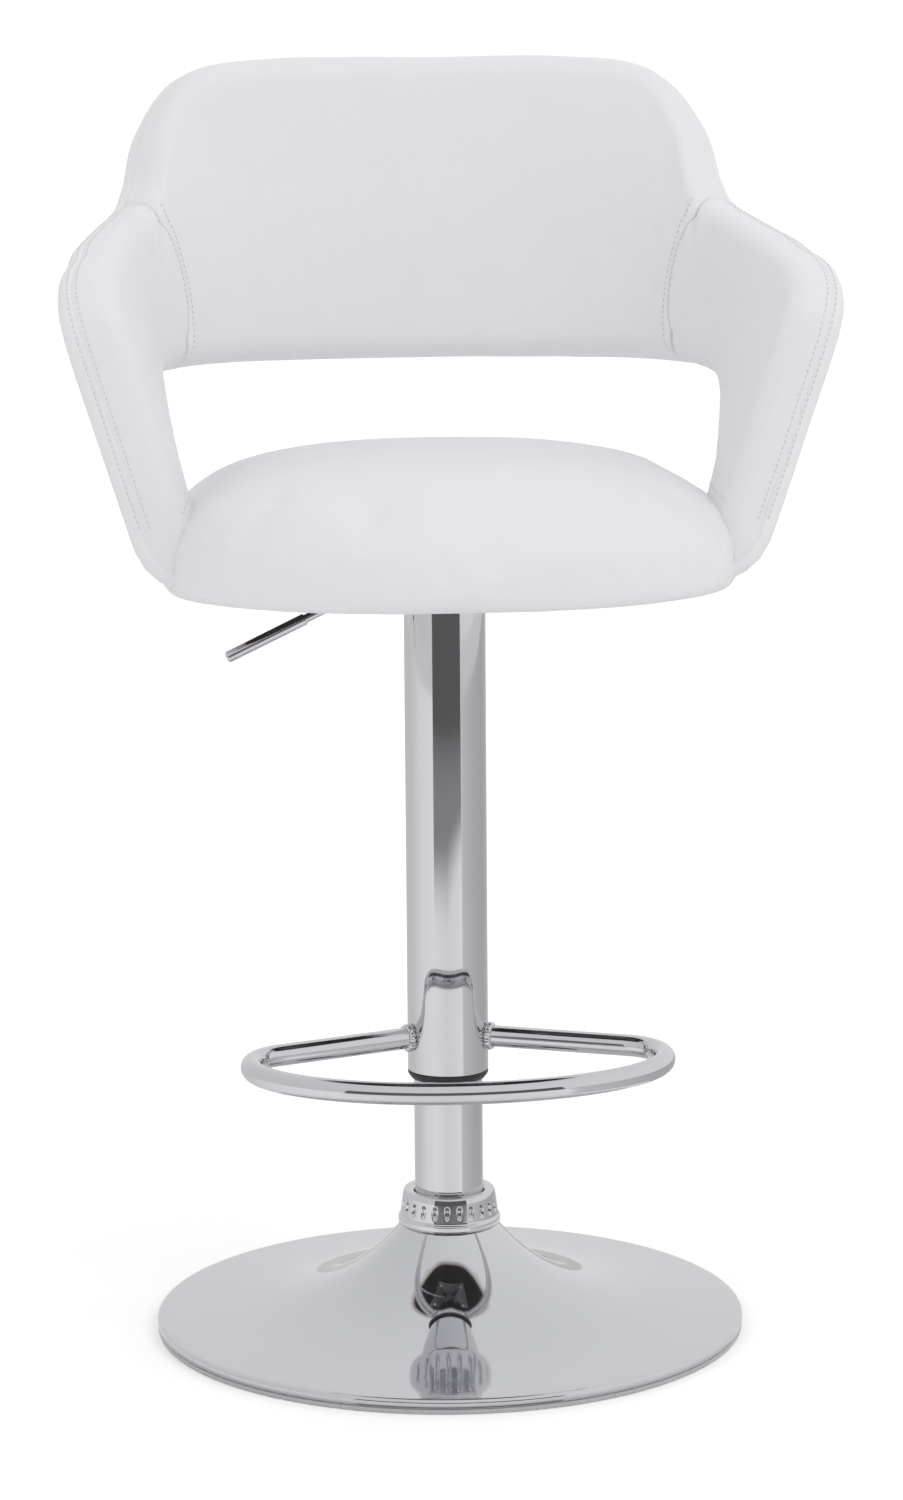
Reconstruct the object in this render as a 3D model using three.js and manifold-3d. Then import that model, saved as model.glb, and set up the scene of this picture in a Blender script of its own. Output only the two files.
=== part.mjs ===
// Adjustable swivel bar stool with arms: a trumpet base, a column with a gas lift, a footrest and an
// upholstered seat. Millimetres, +Z up, the sitter faces -Y, and the origin is on the floor under the
// column's axis. The lift stands 85 mm above its lowest height.
import * as THREE from 'three';
import { LoftGeometry } from 'three/addons/geometries/LoftGeometry.js';
import { mergeVertices } from 'three/addons/utils/BufferGeometryUtils.js';
import Module from 'manifold-3d';

const wasm = await Module();
wasm.setup();

// ---------------------------------------------------------------- driving dimensions
const FIT = 0.3; // gap between pieces that are fixed to each other
const RUN = 0.45; // radial gap between pieces that slide or turn on each other
const ROUND = 40; // sides of a large round piece
const SMALL_ROUND = 24; // sides of a small one

const COLUMN = { radius: 25.5, wall: 2.2, top: 380 };
const DISH = {
  radius: 220, neckRadius: COLUMN.radius + 10.5, neckTop: 77.7, rimTop: 11, sheet: 1.6, lip: 11,
  cone: 12.9, // steady fall from neck to rim
  flare: 4.05, // power of the trumpet curve added to it
};
const FLOOR_RING = { height: 3.7, width: 10, lip: 1.2 };
const BALLAST = { radius: DISH.radius - 16, thickness: 7, hole: 20, floorGap: 2 };
const FLANGE = { radius: 60, thickness: 5, hole: 15, boltCircle: 42, bolts: 4 };
const FLANGE_BOLT = { radius: 4, headRadius: 7.5, headHeight: 5.3, grip: 10 };

const COLLAR = {
  radius: DISH.neckRadius + 2.3, topRadius: DISH.neckRadius - 3, height: 26, band: 6,
  recesses: 24, recessWidth: 3.2, recessHeight: 10,
};
const GUIDE = { length: 70, flange: 3 };

const BEARING = { seatBottom: 22, seatThickness: 6, race: 2, inner: 4.6, outer: 12, balls: 8, ball: 1.9 };
const ROD = { radius: 5, stub: 4, collar: 7, collarHeight: 3, bottom: 16.5, groove: 3 };
const CLIP = { outer: 7, thickness: 1.4, opening: 3.4 };
const PISTON = { height: 12, top: 330 };

const SHROUD = { radius: COLUMN.radius + 4.5, wall: 2, bottom: 196, top: 543 };
const CYLINDER = { radius: 14, wall: 2.3, bottom: 185, top: SHROUD.top + 18, taper: 0.8, headHeight: 22 };
const ROD_GUIDE = { height: 12, recess: 2 };
const VALVE = { radius: 2.4, length: 26, standsOut: 3.8 };

const SHROUD_CAP = { height: 6 };
const RETAINER = { height: 2.4, width: 4.5 };
const WIPER = { lip: 6, height: 22, chamfer: 2.6 };

const FOOTREST = {
  tube: 8, height: 222, halfWidth: 150, widestAt: -88, reach: 92, armEnd: [22, -6], armCorner: [146, -60],
};

const PLATE = { half: 80, thickness: 3, corner: 14, bottom: SHROUD.top + 34, boltAt: 62 };
const SOCKET = { radius: CYLINDER.radius + 4.5 };
const CHEEK = { thickness: 2.5, outward: 14, inward: 8, drop: 13, gap: 7 };
const PLATE_BOLT = { radius: 4, headRadius: 6.5, headHeight: 5, length: 13 };
const LEVER = {
  pivotX: -SOCKET.radius - 5.5, blade: 5, bladeHeight: 9, reach: 3, rod: 3.2, slope: 25.5, tip: -160, grip: 4.4, gripLength: 64,
};
const LEVER_PIN = { radius: 2.5, head: 1.6 };

// Heights from here on are above the underside of the mechanism plate.
const SEAT_HALF_WIDTH = 200;
const BOARD = { thickness: 12, halfWidth: SEAT_HALF_WIDTH - 16, front: 186, rear: 167 };
const DUST_COVER = { thickness: 0.8, inset: 4, gap: 1.5 };
const CUSHION = { halfWidth: SEAT_HALF_WIDTH, front: 205, rear: 186, bottom: -10, widest: 22, top: 79, skirt: 12 };
const SHELL_BOLT = { radius: 3, headRadius: 6, headHeight: 3, length: 36, recess: 3 };

// The back and arms are one padded strip that arches from the left post over the backrest to the right post.
const BAND = {
  level: 197, // height at which the plan curve below is drawn
  flare: 0.00111, // growth in width per millimetre of height
  lean: 0.105, // backward shift per millimetre of height, at the middle of the back
  half: 22, // half the thickness
  round: 12, // rounding of the four long edges
  split: 8, // the outer shell starts this far outside the middle of the thickness
  steps: 36, // stations from foot to foot
  foot: 0.98, // the band stops here, 1 being the last point of both edges
};
// Plan curve of the right half as [share of the seat's half width, y], from just left of the rear centre.
const PLAN = [
  [-0.45, 182], [0, 188], [0.45, 182], [0.815, 160], [1.06, 112], [1.18, 40], [1.225, -40], [1.29, -110], [1.325, -150],
];
const PLAN_START = 1; // index of the rear centre in PLAN
// Outer and inner edges of the right half, as [share of the plan curve's length from the rear centre, height].
const OUTER_EDGE = [
  [0, 363], [0.177, 363], [0.301, 353], [0.38, 313], [0.423, 273], [0.472, 252], [0.59, 238], [0.748, 228],
  [0.866, 217], [0.929, 187], [0.921, 113], [0.911, 68], [0.889, -1],
];
const INNER_EDGE = [
  [0, 136], [0.197, 136], [0.295, 136], [0.364, 136], [0.423, 135], [0.482, 134], [0.561, 131], [0.64, 124],
  [0.699, 113], [0.74, 95], [0.766, 78], [0.777, 61], [0.787, -1],
];
const SEAM_AT = 4.7 / 12; // place of the back-to-arm seam along the edges, 0 at the rear centre, 1 at the foot
const PAD_END = 16 / 18; // the inner pads end here, just above the cushion; on one of the stations

// ---------------------------------------------------------------- materials
const finish = (color, roughness, metalness) => new THREE.MeshStandardMaterial({ color, roughness, metalness });
const chrome = finish(0xd9dadd, 0.06, 1);
const steel = finish(0x8e9196, 0.4, 1);
const zinc = finish(0xb4b8bd, 0.3, 1);
const darkSteel = finish(0x2b2c2e, 0.45, 0.8);
const blackPlastic = finish(0x141414, 0.45, 0);
const greyRubber = finish(0xb9babb, 0.6, 0);
const plywood = finish(0xc9a36f, 0.7, 0);
const leather = finish(0xe9e8ea, 0.45, 0);
const blackCloth = finish(0x1a1a1b, 0.95, 0);

// ---------------------------------------------------------------- geometry helpers
const root = new THREE.Group();

function place(name, geometry, material, parent = root) {
  const mesh = new THREE.Mesh(geometry, material);
  mesh.name = name;
  parent.add(mesh);
  return mesh;
}

function solid(geometry) {
  const bare = new THREE.BufferGeometry();
  bare.setAttribute('position', geometry.getAttribute('position'));
  bare.setIndex(geometry.getIndex());
  const merged = mergeVertices(bare, 1e-3);
  return new wasm.Manifold(new wasm.Mesh({
    numProp: 3,
    vertProperties: new Float32Array(merged.attributes.position.array),
    triVerts: new Uint32Array(merged.index.array),
  }));
}

function geometryOf(manifold) {
  const mesh = manifold.getMesh();
  const geometry = new THREE.BufferGeometry();
  geometry.setAttribute('position', new THREE.BufferAttribute(mesh.vertProperties, 3));
  geometry.setIndex(new THREE.BufferAttribute(mesh.triVerts, 1));
  return geometry;
}

const cut = (body, ...tools) => geometryOf(tools.reduce((left, tool) => left.subtract(solid(tool)), solid(body)));
const join = (...bodies) => geometryOf(bodies.map(solid).reduce((all, one) => all.add(one)));

// A closed profile of [radius, height] pairs turned about Z. The profile runs anticlockwise, outside going up.
function turned(profile, sides = ROUND) {
  const points = [...profile, profile[0]].map(([r, z]) => new THREE.Vector2(r, z));
  return new THREE.LatheGeometry(points, sides).rotateX(Math.PI / 2);
}

const ring = (inner, outer, bottom, top, sides = ROUND) => turned(
  [[inner, bottom], [outer, bottom], [outer, top], [inner, top]], sides);

function disc(radius, bottom, top, sides = SMALL_ROUND) {
  return new THREE.CylinderGeometry(radius, radius, top - bottom, sides)
    .rotateX(Math.PI / 2).translate(0, 0, (bottom + top) / 2);
}

// A block between two opposite corners.
function block([x0, y0, z0], [x1, y1, z1]) {
  return new THREE.BoxGeometry(x1 - x0, y1 - y0, z1 - z0).translate((x0 + x1) / 2, (y0 + y1) / 2, (z0 + z1) / 2);
}

// A hexagon-headed bolt along +Z, its head's bearing face at z = 0 and the head below it.
function bolt({ radius, headRadius, headHeight }, length) {
  const head = disc(headRadius, -headHeight, 0, 6);
  return join(head, disc(radius, -headHeight / 2, length, 12));
}

const around = (count, radius, start = Math.PI / 4) => Array.from({ length: count }, (_, i) => {
  const angle = start + (2 * Math.PI * i) / count;
  return [radius * Math.cos(angle), radius * Math.sin(angle)];
});

// ---------------------------------------------------------------- base
function dishHeight(radius) {
  const { neckRadius, neckTop, rimTop, cone, flare } = DISH;
  const share = Math.max(0, 1 - (radius - neckRadius) / (DISH.radius - neckRadius));
  return rimTop + cone * share + (neckTop - rimTop - cone) * share ** flare;
}

function baseDish() {
  const { radius, neckRadius, neckTop, rimTop, sheet, lip } = DISH;
  const steps = 7;
  const flare = Array.from({ length: steps + 1 }, (_, i) => {
    const share = (i / steps) ** 1.6;
    return neckRadius + (radius - 2.5 - neckRadius) * share;
  });
  const top = flare.map((r) => [r, dishHeight(r)]);
  const under = flare.filter((r, i) => i % 2 === 1).map((r) => [r - sheet, dishHeight(r) - sheet]);
  const bottom = FLOOR_RING.height + FIT;
  const hole = COLUMN.radius + FIT;
  const rim = [[radius, rimTop - 2], [radius, bottom]];
  const flange = [[radius - lip, bottom], [radius - lip, bottom + sheet], [radius - sheet, bottom + sheet]];
  return turned([
    [hole, neckTop], [hole, neckTop - sheet], [neckRadius - sheet, neckTop - 2 * sheet],
    ...under, [radius - sheet, rimTop - 2 * sheet], ...flange.reverse(), ...rim.reverse(), ...top.reverse(),
  ]);
}

function floorRing() {
  const { height, width, lip } = FLOOR_RING;
  const outer = DISH.radius - 0.5;
  return turned([
    [outer - width + lip, 0], [outer - lip, 0], [outer, lip], [outer, height], [outer - width, height],
    [outer - width, lip],
  ]);
}

const ballastTop = BALLAST.floorGap + BALLAST.thickness;
const flangeBottom = ballastTop + FIT;
const flangeTop = flangeBottom + FLANGE.thickness;
const columnBottom = flangeTop + FIT;
const boltSpots = around(FLANGE.bolts, FLANGE.boltCircle);

function withBoltHoles(plate) {
  const holes = boltSpots.map(([x, y]) => disc(FLANGE_BOLT.radius + FIT, -1, flangeTop + 5, 12).translate(x, y, 0));
  return cut(plate, ...holes);
}

function collarRing() {
  const { radius, topRadius, height, band, recesses, recessWidth, recessHeight } = COLLAR;
  const bottom = DISH.neckTop + FIT;
  const top = bottom + height;
  const hole = COLUMN.radius + FIT;
  const body = turned([
    [hole, bottom], [radius, bottom], [radius, bottom + band], [topRadius + 1, top - 1.5], [topRadius - 1.5, top],
    [hole + 2.5, top], [hole, top - 2.5],
  ], recesses * 2);
  const middle = (radius + topRadius) / 2;
  const level = bottom + band + (height - band) / 2 - 1;
  const tools = around(recesses, middle + 1.2, 0).map(([x, y]) => {
    return new THREE.BoxGeometry(3, recessWidth, recessHeight).rotateZ(Math.atan2(y, x)).translate(x, y, level);
  });
  return cut(body, ...tools);
}

function addBase() {
  place('base_dish', baseDish(), chrome);
  place('floor_ring', floorRing(), greyRubber);
  place('ballast_plate', withBoltHoles(ring(BALLAST.hole, BALLAST.radius, BALLAST.floorGap, ballastTop)), darkSteel);
  place('column_flange', withBoltHoles(ring(FLANGE.hole, FLANGE.radius, flangeBottom, flangeTop)), steel);
  place('column_tube', ring(COLUMN.radius - COLUMN.wall, COLUMN.radius, columnBottom, COLUMN.top), chrome);
  place('collar_ring', collarRing(), chrome);
  boltSpots.forEach(([x, y], i) => {
    const mesh = place(`flange_bolt_${i + 1}`, bolt(FLANGE_BOLT, FLANGE_BOLT.grip), zinc);
    mesh.rotation.x = Math.PI;
    mesh.position.set(x, y, flangeTop + FIT);
  });
  const bushOuter = COLUMN.radius - COLUMN.wall - FIT;
  const bushTop = COLUMN.top + FIT;
  place('guide_bush', turned([
    [CYLINDER.radius + RUN, COLUMN.top - GUIDE.length], [bushOuter, COLUMN.top - GUIDE.length], [bushOuter, bushTop],
    [COLUMN.radius, bushTop], [COLUMN.radius, bushTop + GUIDE.flange], [CYLINDER.radius + RUN, bushTop + GUIDE.flange],
  ], SMALL_ROUND), blackPlastic);
}

// ---------------------------------------------------------------- swivel bearing and gas lift
const raceBottom = BEARING.seatBottom + BEARING.seatThickness + FIT;
const cageBottom = raceBottom + BEARING.race + FIT;
const upperRaceBottom = cageBottom + 2 * BEARING.ball + FIT;
const collarBottom = upperRaceBottom + BEARING.race + FIT;

function ballCage() {
  const middle = (BEARING.inner + BEARING.outer) / 2;
  const level = cageBottom + BEARING.ball;
  const web = ring(middle - 2.9, middle + 2.9, level - 0.6, level + 0.6, SMALL_ROUND);
  const balls = around(BEARING.balls, middle, 0)
    .map(([x, y]) => new THREE.SphereGeometry(BEARING.ball, 8, 5).rotateX(Math.PI / 2).translate(x, y, level));
  return join(web, ...balls);
}

function rodClip() {
  const bottom = ROD.bottom + 2;
  const body = ring(ROD.groove + FIT, CLIP.outer, bottom + FIT, bottom + FIT + CLIP.thickness, SMALL_ROUND);
  const half = CLIP.opening / 2;
  return cut(body, block([0, -half, bottom - 1], [CLIP.outer + 1, half, bottom + 4]));
}

function pistonRod() {
  const groove = ROD.bottom + 2;
  const grooveTop = groove + CLIP.thickness + 2 * FIT;
  const pistonBottom = PISTON.top - PISTON.height;
  return turned([
    [0, ROD.bottom], [ROD.stub, ROD.bottom], [ROD.stub, groove], [ROD.groove, groove], [ROD.groove, grooveTop],
    [ROD.stub, grooveTop], [ROD.stub, collarBottom], [ROD.collar, collarBottom],
    [ROD.collar, collarBottom + ROD.collarHeight], [ROD.radius, collarBottom + ROD.collarHeight],
    [ROD.radius, pistonBottom - FIT], [ROD.stub, pistonBottom - FIT], [ROD.stub, PISTON.top + 2], [0, PISTON.top + 2],
  ], SMALL_ROUND);
}

function gasCylinder() {
  const { radius, wall, bottom, top, taper, headHeight } = CYLINDER;
  const bore = VALVE.radius + RUN;
  return turned([
    [radius - wall, bottom], [radius, bottom], [radius, SHROUD.top], [radius - taper, top], [bore, top],
    [bore, top - headHeight], [radius - wall, top - headHeight],
  ], SMALL_ROUND);
}

function addSwivelAndLift() {
  const { seatBottom, seatThickness, race, inner, outer } = BEARING;
  const seatOuter = COLUMN.radius - COLUMN.wall - FIT;
  place('bearing_seat', ring(ROD.stub + RUN, seatOuter, seatBottom, seatBottom + seatThickness, SMALL_ROUND), steel);
  place('lower_race', ring(inner, outer, raceBottom, raceBottom + race, SMALL_ROUND), steel);
  place('ball_cage', ballCage(), zinc);
  place('upper_race', ring(inner, outer, upperRaceBottom, upperRaceBottom + race, SMALL_ROUND), steel);
  place('rod_clip', rodClip(), zinc);
  place('piston_rod', pistonRod(), chrome);
  const pistonRadius = CYLINDER.radius - CYLINDER.wall - RUN;
  place('piston', ring(ROD.stub + FIT, pistonRadius, PISTON.top - PISTON.height, PISTON.top, SMALL_ROUND), blackPlastic);

  place('gas_cylinder', gasCylinder(), darkSteel);
  const guideBottom = CYLINDER.bottom + ROD_GUIDE.recess;
  const guideOuter = CYLINDER.radius - CYLINDER.wall - FIT;
  place('rod_guide', ring(ROD.radius + RUN, guideOuter, guideBottom, guideBottom + ROD_GUIDE.height, SMALL_ROUND), blackPlastic);
  const valveTop = CYLINDER.top + VALVE.standsOut;
  place('valve_button', disc(VALVE.radius, valveTop - VALVE.length, valveTop, 16), zinc);
}

// ---------------------------------------------------------------- shroud and footrest
function wiperBush() {
  const inside = COLUMN.radius + RUN;
  const sleeve = SHROUD.radius - SHROUD.wall - FIT;
  const { lip, height, chamfer } = WIPER;
  const seat = SHROUD.bottom - FIT;
  return turned([
    [inside, seat - lip], [SHROUD.radius - chamfer, seat - lip], [SHROUD.radius, seat - 2], [SHROUD.radius, seat],
    [sleeve, seat], [sleeve, seat + height], [inside, seat + height],
  ]);
}

// Centre line of the footrest: an arm from the shroud, a bend, half an ellipse round the front, and back.
function footrestPath() {
  const { height, halfWidth, widestAt, reach, armEnd, armCorner } = FOOTREST;
  const path = new THREE.CurvePath();
  const at = (x, y) => new THREE.Vector3(x, y, height);
  const bend = 24;
  const [cornerX, cornerY] = armCorner;
  const direction = new THREE.Vector2(armEnd[0] - cornerX, armEnd[1] - cornerY).normalize().multiplyScalar(bend);
  const beforeBend = [cornerX + direction.x, cornerY + direction.y];
  const front = new THREE.EllipseCurve(0, widestAt, halfWidth, reach, 0, -Math.PI, true).getPoints(28);
  path.add(new THREE.LineCurve3(at(...armEnd), at(...beforeBend)));
  path.add(new THREE.QuadraticBezierCurve3(at(...beforeBend), at(halfWidth, cornerY - 4), at(halfWidth, widestAt)));
  path.add(new THREE.CatmullRomCurve3(front.map((p) => at(p.x, p.y))));
  path.add(new THREE.QuadraticBezierCurve3(
    at(-halfWidth, widestAt), at(-halfWidth, cornerY - 4), at(-beforeBend[0], beforeBend[1])));
  path.add(new THREE.LineCurve3(at(-beforeBend[0], beforeBend[1]), at(-armEnd[0], armEnd[1])));
  return path;
}

function footrestRing() {
  const circle = new THREE.EllipseCurve(0, 0, FOOTREST.tube, FOOTREST.tube);
  const section = new THREE.Shape(circle.getPoints(10).slice(0, -1));
  const tube = new THREE.ExtrudeGeometry(section, { steps: 46, extrudePath: footrestPath() });
  const column = disc(SHROUD.radius + FIT, FOOTREST.height - 30, FOOTREST.height + 30, ROUND);
  return cut(tube, column);
}

function addShroud() {
  place('shroud_tube', ring(SHROUD.radius - SHROUD.wall, SHROUD.radius, SHROUD.bottom, SHROUD.top), chrome);
  const capBottom = SHROUD.top - SHROUD_CAP.height;
  const hole = CYLINDER.radius + FIT;
  place('shroud_cap', ring(hole, SHROUD.radius - SHROUD.wall - FIT, capBottom, SHROUD.top), blackPlastic);
  const retainerTop = capBottom - FIT;
  place('shroud_retainer', ring(hole, hole + RETAINER.width, retainerTop - RETAINER.height, retainerTop, SMALL_ROUND), zinc);
  place('wiper_bush', wiperBush(), blackPlastic);
  place('footrest_ring', footrestRing(), chrome);
}

// ---------------------------------------------------------------- seat mechanism and lever
const leverLevel = CYLINDER.top + VALVE.standsOut + FIT + 0.1 + LEVER.bladeHeight / 2;

function roundedPlate(half, corner, thickness) {
  const shape = new THREE.Shape();
  shape.absarc(half - corner, half - corner, corner, 0, Math.PI / 2);
  shape.absarc(corner - half, half - corner, corner, Math.PI / 2, Math.PI);
  shape.absarc(corner - half, corner - half, corner, Math.PI, 1.5 * Math.PI);
  shape.absarc(half - corner, corner - half, corner, 1.5 * Math.PI, 2 * Math.PI);
  return new THREE.ExtrudeGeometry(shape, { depth: thickness, bevelEnabled: false, curveSegments: 3 });
}

// Seat plate with the tapered socket and the two cheeks that carry the lever's pin.
function mechanismPlate() {
  const { half, thickness, corner, bottom, boltAt } = PLATE;
  const plate = roundedPlate(half, corner, thickness).translate(0, 0, bottom);
  const socketBottom = SHROUD.top + FIT;
  const socket = disc(SOCKET.radius, socketBottom, bottom + 0.1);
  const inside = CHEEK.gap / 2 + 0.5;
  const cheeks = [-1, 1].map((side) => {
    const middle = side * (inside + CHEEK.thickness / 2);
    return block(
      [LEVER.pivotX - CHEEK.outward, middle - CHEEK.thickness / 2, bottom - CHEEK.drop],
      [LEVER.pivotX + CHEEK.inward, middle + CHEEK.thickness / 2, bottom + 0.1]);
  });
  const taperTop = CYLINDER.radius - CYLINDER.taper;
  const taper = turned([
    [0, socketBottom - 1], [CYLINDER.radius + FIT, socketBottom - 1], [CYLINDER.radius + FIT, SHROUD.top + 1],
    [taperTop + FIT, CYLINDER.top + 1], [taperTop + FIT, bottom + thickness + 1],
    [0, bottom + thickness + 1],
  ], SMALL_ROUND);
  const slot = block([-SOCKET.radius - 2, -inside, CYLINDER.top - 4], [0, inside, bottom]);
  const pinHole = new THREE.CylinderGeometry(LEVER_PIN.radius + FIT, LEVER_PIN.radius + FIT, 40, 16)
    .translate(LEVER.pivotX, 0, leverLevel);
  const boltHoles = around(4, boltAt * Math.SQRT2)
    .map(([x, y]) => disc(PLATE_BOLT.radius + FIT, bottom - 1, bottom + thickness + 1, 12).translate(x, y, 0));
  return cut(join(plate, socket, ...cheeks), taper, slot, pinHole, ...boltHoles);
}

const slopeAngle = THREE.MathUtils.degToRad(LEVER.slope);
const bladeEnd = LEVER.pivotX - 12;

// A rod along the lever's sloping line, between two distances from the bend.
function alongLever(radius, from, to, sides) {
  return new THREE.CylinderGeometry(radius, radius, to - from, sides)
    .translate(0, -(from + to) / 2, 0)
    .rotateZ(-Math.PI / 2 + slopeAngle)
    .rotateX(Math.PI / 2)
    .translate(bladeEnd + 4, 0, leverLevel);
}

const leverLength = (bladeEnd + 4 - LEVER.tip) / Math.cos(slopeAngle);

function releaseLever() {
  const half = LEVER.bladeHeight / 2;
  const blade = block([bladeEnd, -LEVER.blade / 2, leverLevel - half], [LEVER.reach, LEVER.blade / 2, leverLevel + half]);
  const rod = alongLever(LEVER.rod, 0, leverLength - 3, 16);
  const pinHole = new THREE.CylinderGeometry(LEVER_PIN.radius + RUN, LEVER_PIN.radius + RUN, 20, 16)
    .translate(LEVER.pivotX, 0, leverLevel);
  return cut(join(blade, rod), pinHole);
}

function leverGrip() {
  const body = alongLever(LEVER.grip, leverLength - LEVER.gripLength, leverLength, 24);
  return cut(body, alongLever(LEVER.rod + FIT, 0, leverLength - 2.5, 16));
}

function leverPin() {
  const reach = CHEEK.gap / 2 + 0.5 + CHEEK.thickness;
  const shank = new THREE.CylinderGeometry(LEVER_PIN.radius, LEVER_PIN.radius, 2 * reach + 3, 16);
  const head = new THREE.CylinderGeometry(LEVER_PIN.radius + 1.8, LEVER_PIN.radius + 1.8, LEVER_PIN.head, 16)
    .translate(0, -reach - FIT - LEVER_PIN.head / 2, 0);
  return join(shank, head).translate(LEVER.pivotX, 0, leverLevel);
}

function addMechanism() {
  place('mechanism_plate', mechanismPlate(), darkSteel);
  place('lever_pin', leverPin(), zinc);
  place('release_lever', releaseLever(), chrome);
  place('lever_grip', leverGrip(), chrome);
  around(4, PLATE.boltAt * Math.SQRT2).forEach(([x, y], i) => {
    place(`plate_bolt_${i + 1}`, bolt(PLATE_BOLT, PLATE_BOLT.length), zinc).position.set(x, y, PLATE.bottom - FIT);
  });
}

// ---------------------------------------------------------------- seat
const seat = new THREE.Group();
seat.position.z = PLATE.bottom;
root.add(seat);
const boardBottom = PLATE.thickness + FIT;
const boardTop = boardBottom + BOARD.thickness;

// Seat outline: a squared-off oval, deeper in front of the column than behind it.
function seatOutline({ halfWidth, front, rear }, count, inset = 0, scale = 1) {
  const power = 2 / 2.5;
  return Array.from({ length: count }, (_, i) => {
    const angle = (2 * Math.PI * i) / count;
    const [c, s] = [Math.cos(angle), Math.sin(angle)];
    const depth = s < 0 ? front : rear;
    const x = Math.sign(c) * Math.abs(c) ** power * (halfWidth - inset) * scale;
    const y = Math.sign(s) * Math.abs(s) ** power * (depth - inset) * scale;
    return new THREE.Vector2(x, y);
  });
}

function seatSlab(size, bottom, top, inset = 0) {
  const shape = new THREE.Shape(seatOutline(size, ROUND, inset));
  return new THREE.ExtrudeGeometry(shape, { depth: top - bottom, bevelEnabled: false }).translate(0, 0, bottom);
}

function cushionBody() {
  const { bottom, widest, top, skirt } = CUSHION;
  const level = (z, inset, scale) => {
    return seatOutline(CUSHION, ROUND, inset, scale).map((p) => new THREE.Vector3(p.x, p.y, z));
  };
  const lower = [90, 55, 25].map((degrees) => {
    const angle = THREE.MathUtils.degToRad(degrees);
    return level(widest - (widest - bottom) * Math.sin(angle), skirt * (1 - Math.cos(angle)), 1);
  });
  const upper = [0, 20, 38, 54, 68, 80].map((degrees) => {
    const angle = THREE.MathUtils.degToRad(degrees);
    return level(widest + (top - widest) * Math.sin(angle) ** 0.8, 0, Math.cos(angle) ** 0.8);
  });
  return new LoftGeometry([...lower, ...upper], { capStart: true, capEnd: true });
}

// Shell bolts run level through the posts into the board's edge.
const shellBoltSpots = [-1, 1].flatMap((side) => [-52, -84].map((y) => [side, y]));
const shellBoltLevel = boardBottom + BOARD.thickness / 2;

function sideways(geometry, [side, y], x) {
  return geometry.rotateY((-side * Math.PI) / 2).translate(side * x, y, shellBoltLevel);
}

const shellBoltHoles = (radius) => shellBoltSpots.map((spot) => sideways(disc(radius, -60, 60, 12), spot, 200));

function addSeat() {
  const holes = around(4, PLATE.boltAt * Math.SQRT2)
    .map(([x, y]) => disc(PLATE_BOLT.radius + FIT, boardBottom - 1, boardTop + 1, 12).translate(x, y, 0));
  place('seat_board', cut(seatSlab(BOARD, boardBottom, boardTop), ...holes, ...shellBoltHoles(SHELL_BOLT.radius + FIT)),
    plywood, seat);
  const coverTop = boardBottom - FIT;
  const opening = PLATE.half + DUST_COVER.gap;
  const cover = seatSlab(BOARD, coverTop - DUST_COVER.thickness, coverTop, DUST_COVER.inset);
  place('dust_cover', cut(cover, block([-opening, -opening, coverTop - 5], [opening, opening, coverTop + 5])), blackCloth, seat);
  const recess = seatSlab(BOARD, CUSHION.bottom - 1, boardTop + FIT, -FIT);
  place('seat_cushion', cut(cushionBody(), recess, ...shellBoltHoles(SHELL_BOLT.radius + FIT)), leather, seat);
}

// ---------------------------------------------------------------- back and arms
const plan = new THREE.SplineCurve(PLAN.map(([share, y]) => new THREE.Vector2(share * SEAT_HALF_WIDTH, y)));
const planStart = PLAN_START / (PLAN.length - 1);

// Plan curve by distance from the rear centre.
const planTable = (() => {
  const steps = 400;
  const rows = [{ s: 0, p: plan.getPoint(planStart) }];
  for (let i = 1; i <= steps; i += 1) {
    const p = plan.getPoint(planStart + ((1 - planStart) * i) / steps);
    const last = rows[rows.length - 1];
    rows.push({ s: last.s + p.distanceTo(last.p), p });
  }
  return rows;
})();

function planPoint(s) {
  const after = planTable.findIndex((row) => row.s > s);
  const [a, b] = [planTable[after - 1], planTable[after]];
  return a.p.clone().lerp(b.p, (s - a.s) / (b.s - a.s));
}

// Middle surface of the band at distance s (negative on the left) and height z.
function bandMiddle(s, z) {
  const p = planPoint(Math.abs(s));
  const rise = z - BAND.level;
  const rear = Math.max(0, p.y) / 200;
  return new THREE.Vector3(Math.sign(s || 1) * p.x * (1 + BAND.flare * rise), p.y + BAND.lean * rise * rear, z);
}

// Point off the middle surface by n, outward positive.
function bandPoint(s, z, n) {
  const step = 0.5;
  const alongS = bandMiddle(s + step, z).sub(bandMiddle(s - step, z));
  const alongZ = bandMiddle(s, z + step).sub(bandMiddle(s, z - step));
  const outward = new THREE.Vector3().crossVectors(alongZ, alongS).normalize();
  return bandMiddle(s, z).addScaledVector(outward, n);
}

const planLength = planTable[planTable.length - 1].s;
const edgeCurve = (points) => new THREE.SplineCurve(
  points.map(([share, height]) => new THREE.Vector2(share * planLength, height)));
const outerEdge = edgeCurve(OUTER_EDGE);
const innerEdge = edgeCurve(INNER_EDGE);

// A length of the band between two places along it, from -1 at the left foot to 1 at the right foot.
// Each entry of the cross-section is [share of the way from the inner to the outer edge, distance added, offset].
function bandLength(from, to, steps, section) {
  const sections = Array.from({ length: steps + 1 }, (_, i) => {
    const t = from + ((to - from) * i) / steps;
    const side = t < 0 ? -1 : 1;
    const low = innerEdge.getPoint(Math.abs(t));
    const high = outerEdge.getPoint(Math.abs(t));
    const width = low.distanceTo(high);
    return section.map(([share, added, n]) => {
      const at = low.clone().lerp(high, share + added / width);
      return bandPoint(side * at.x, at.y, n);
    });
  });
  return new LoftGeometry(sections, { capStart: true, capEnd: true });
}

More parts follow.
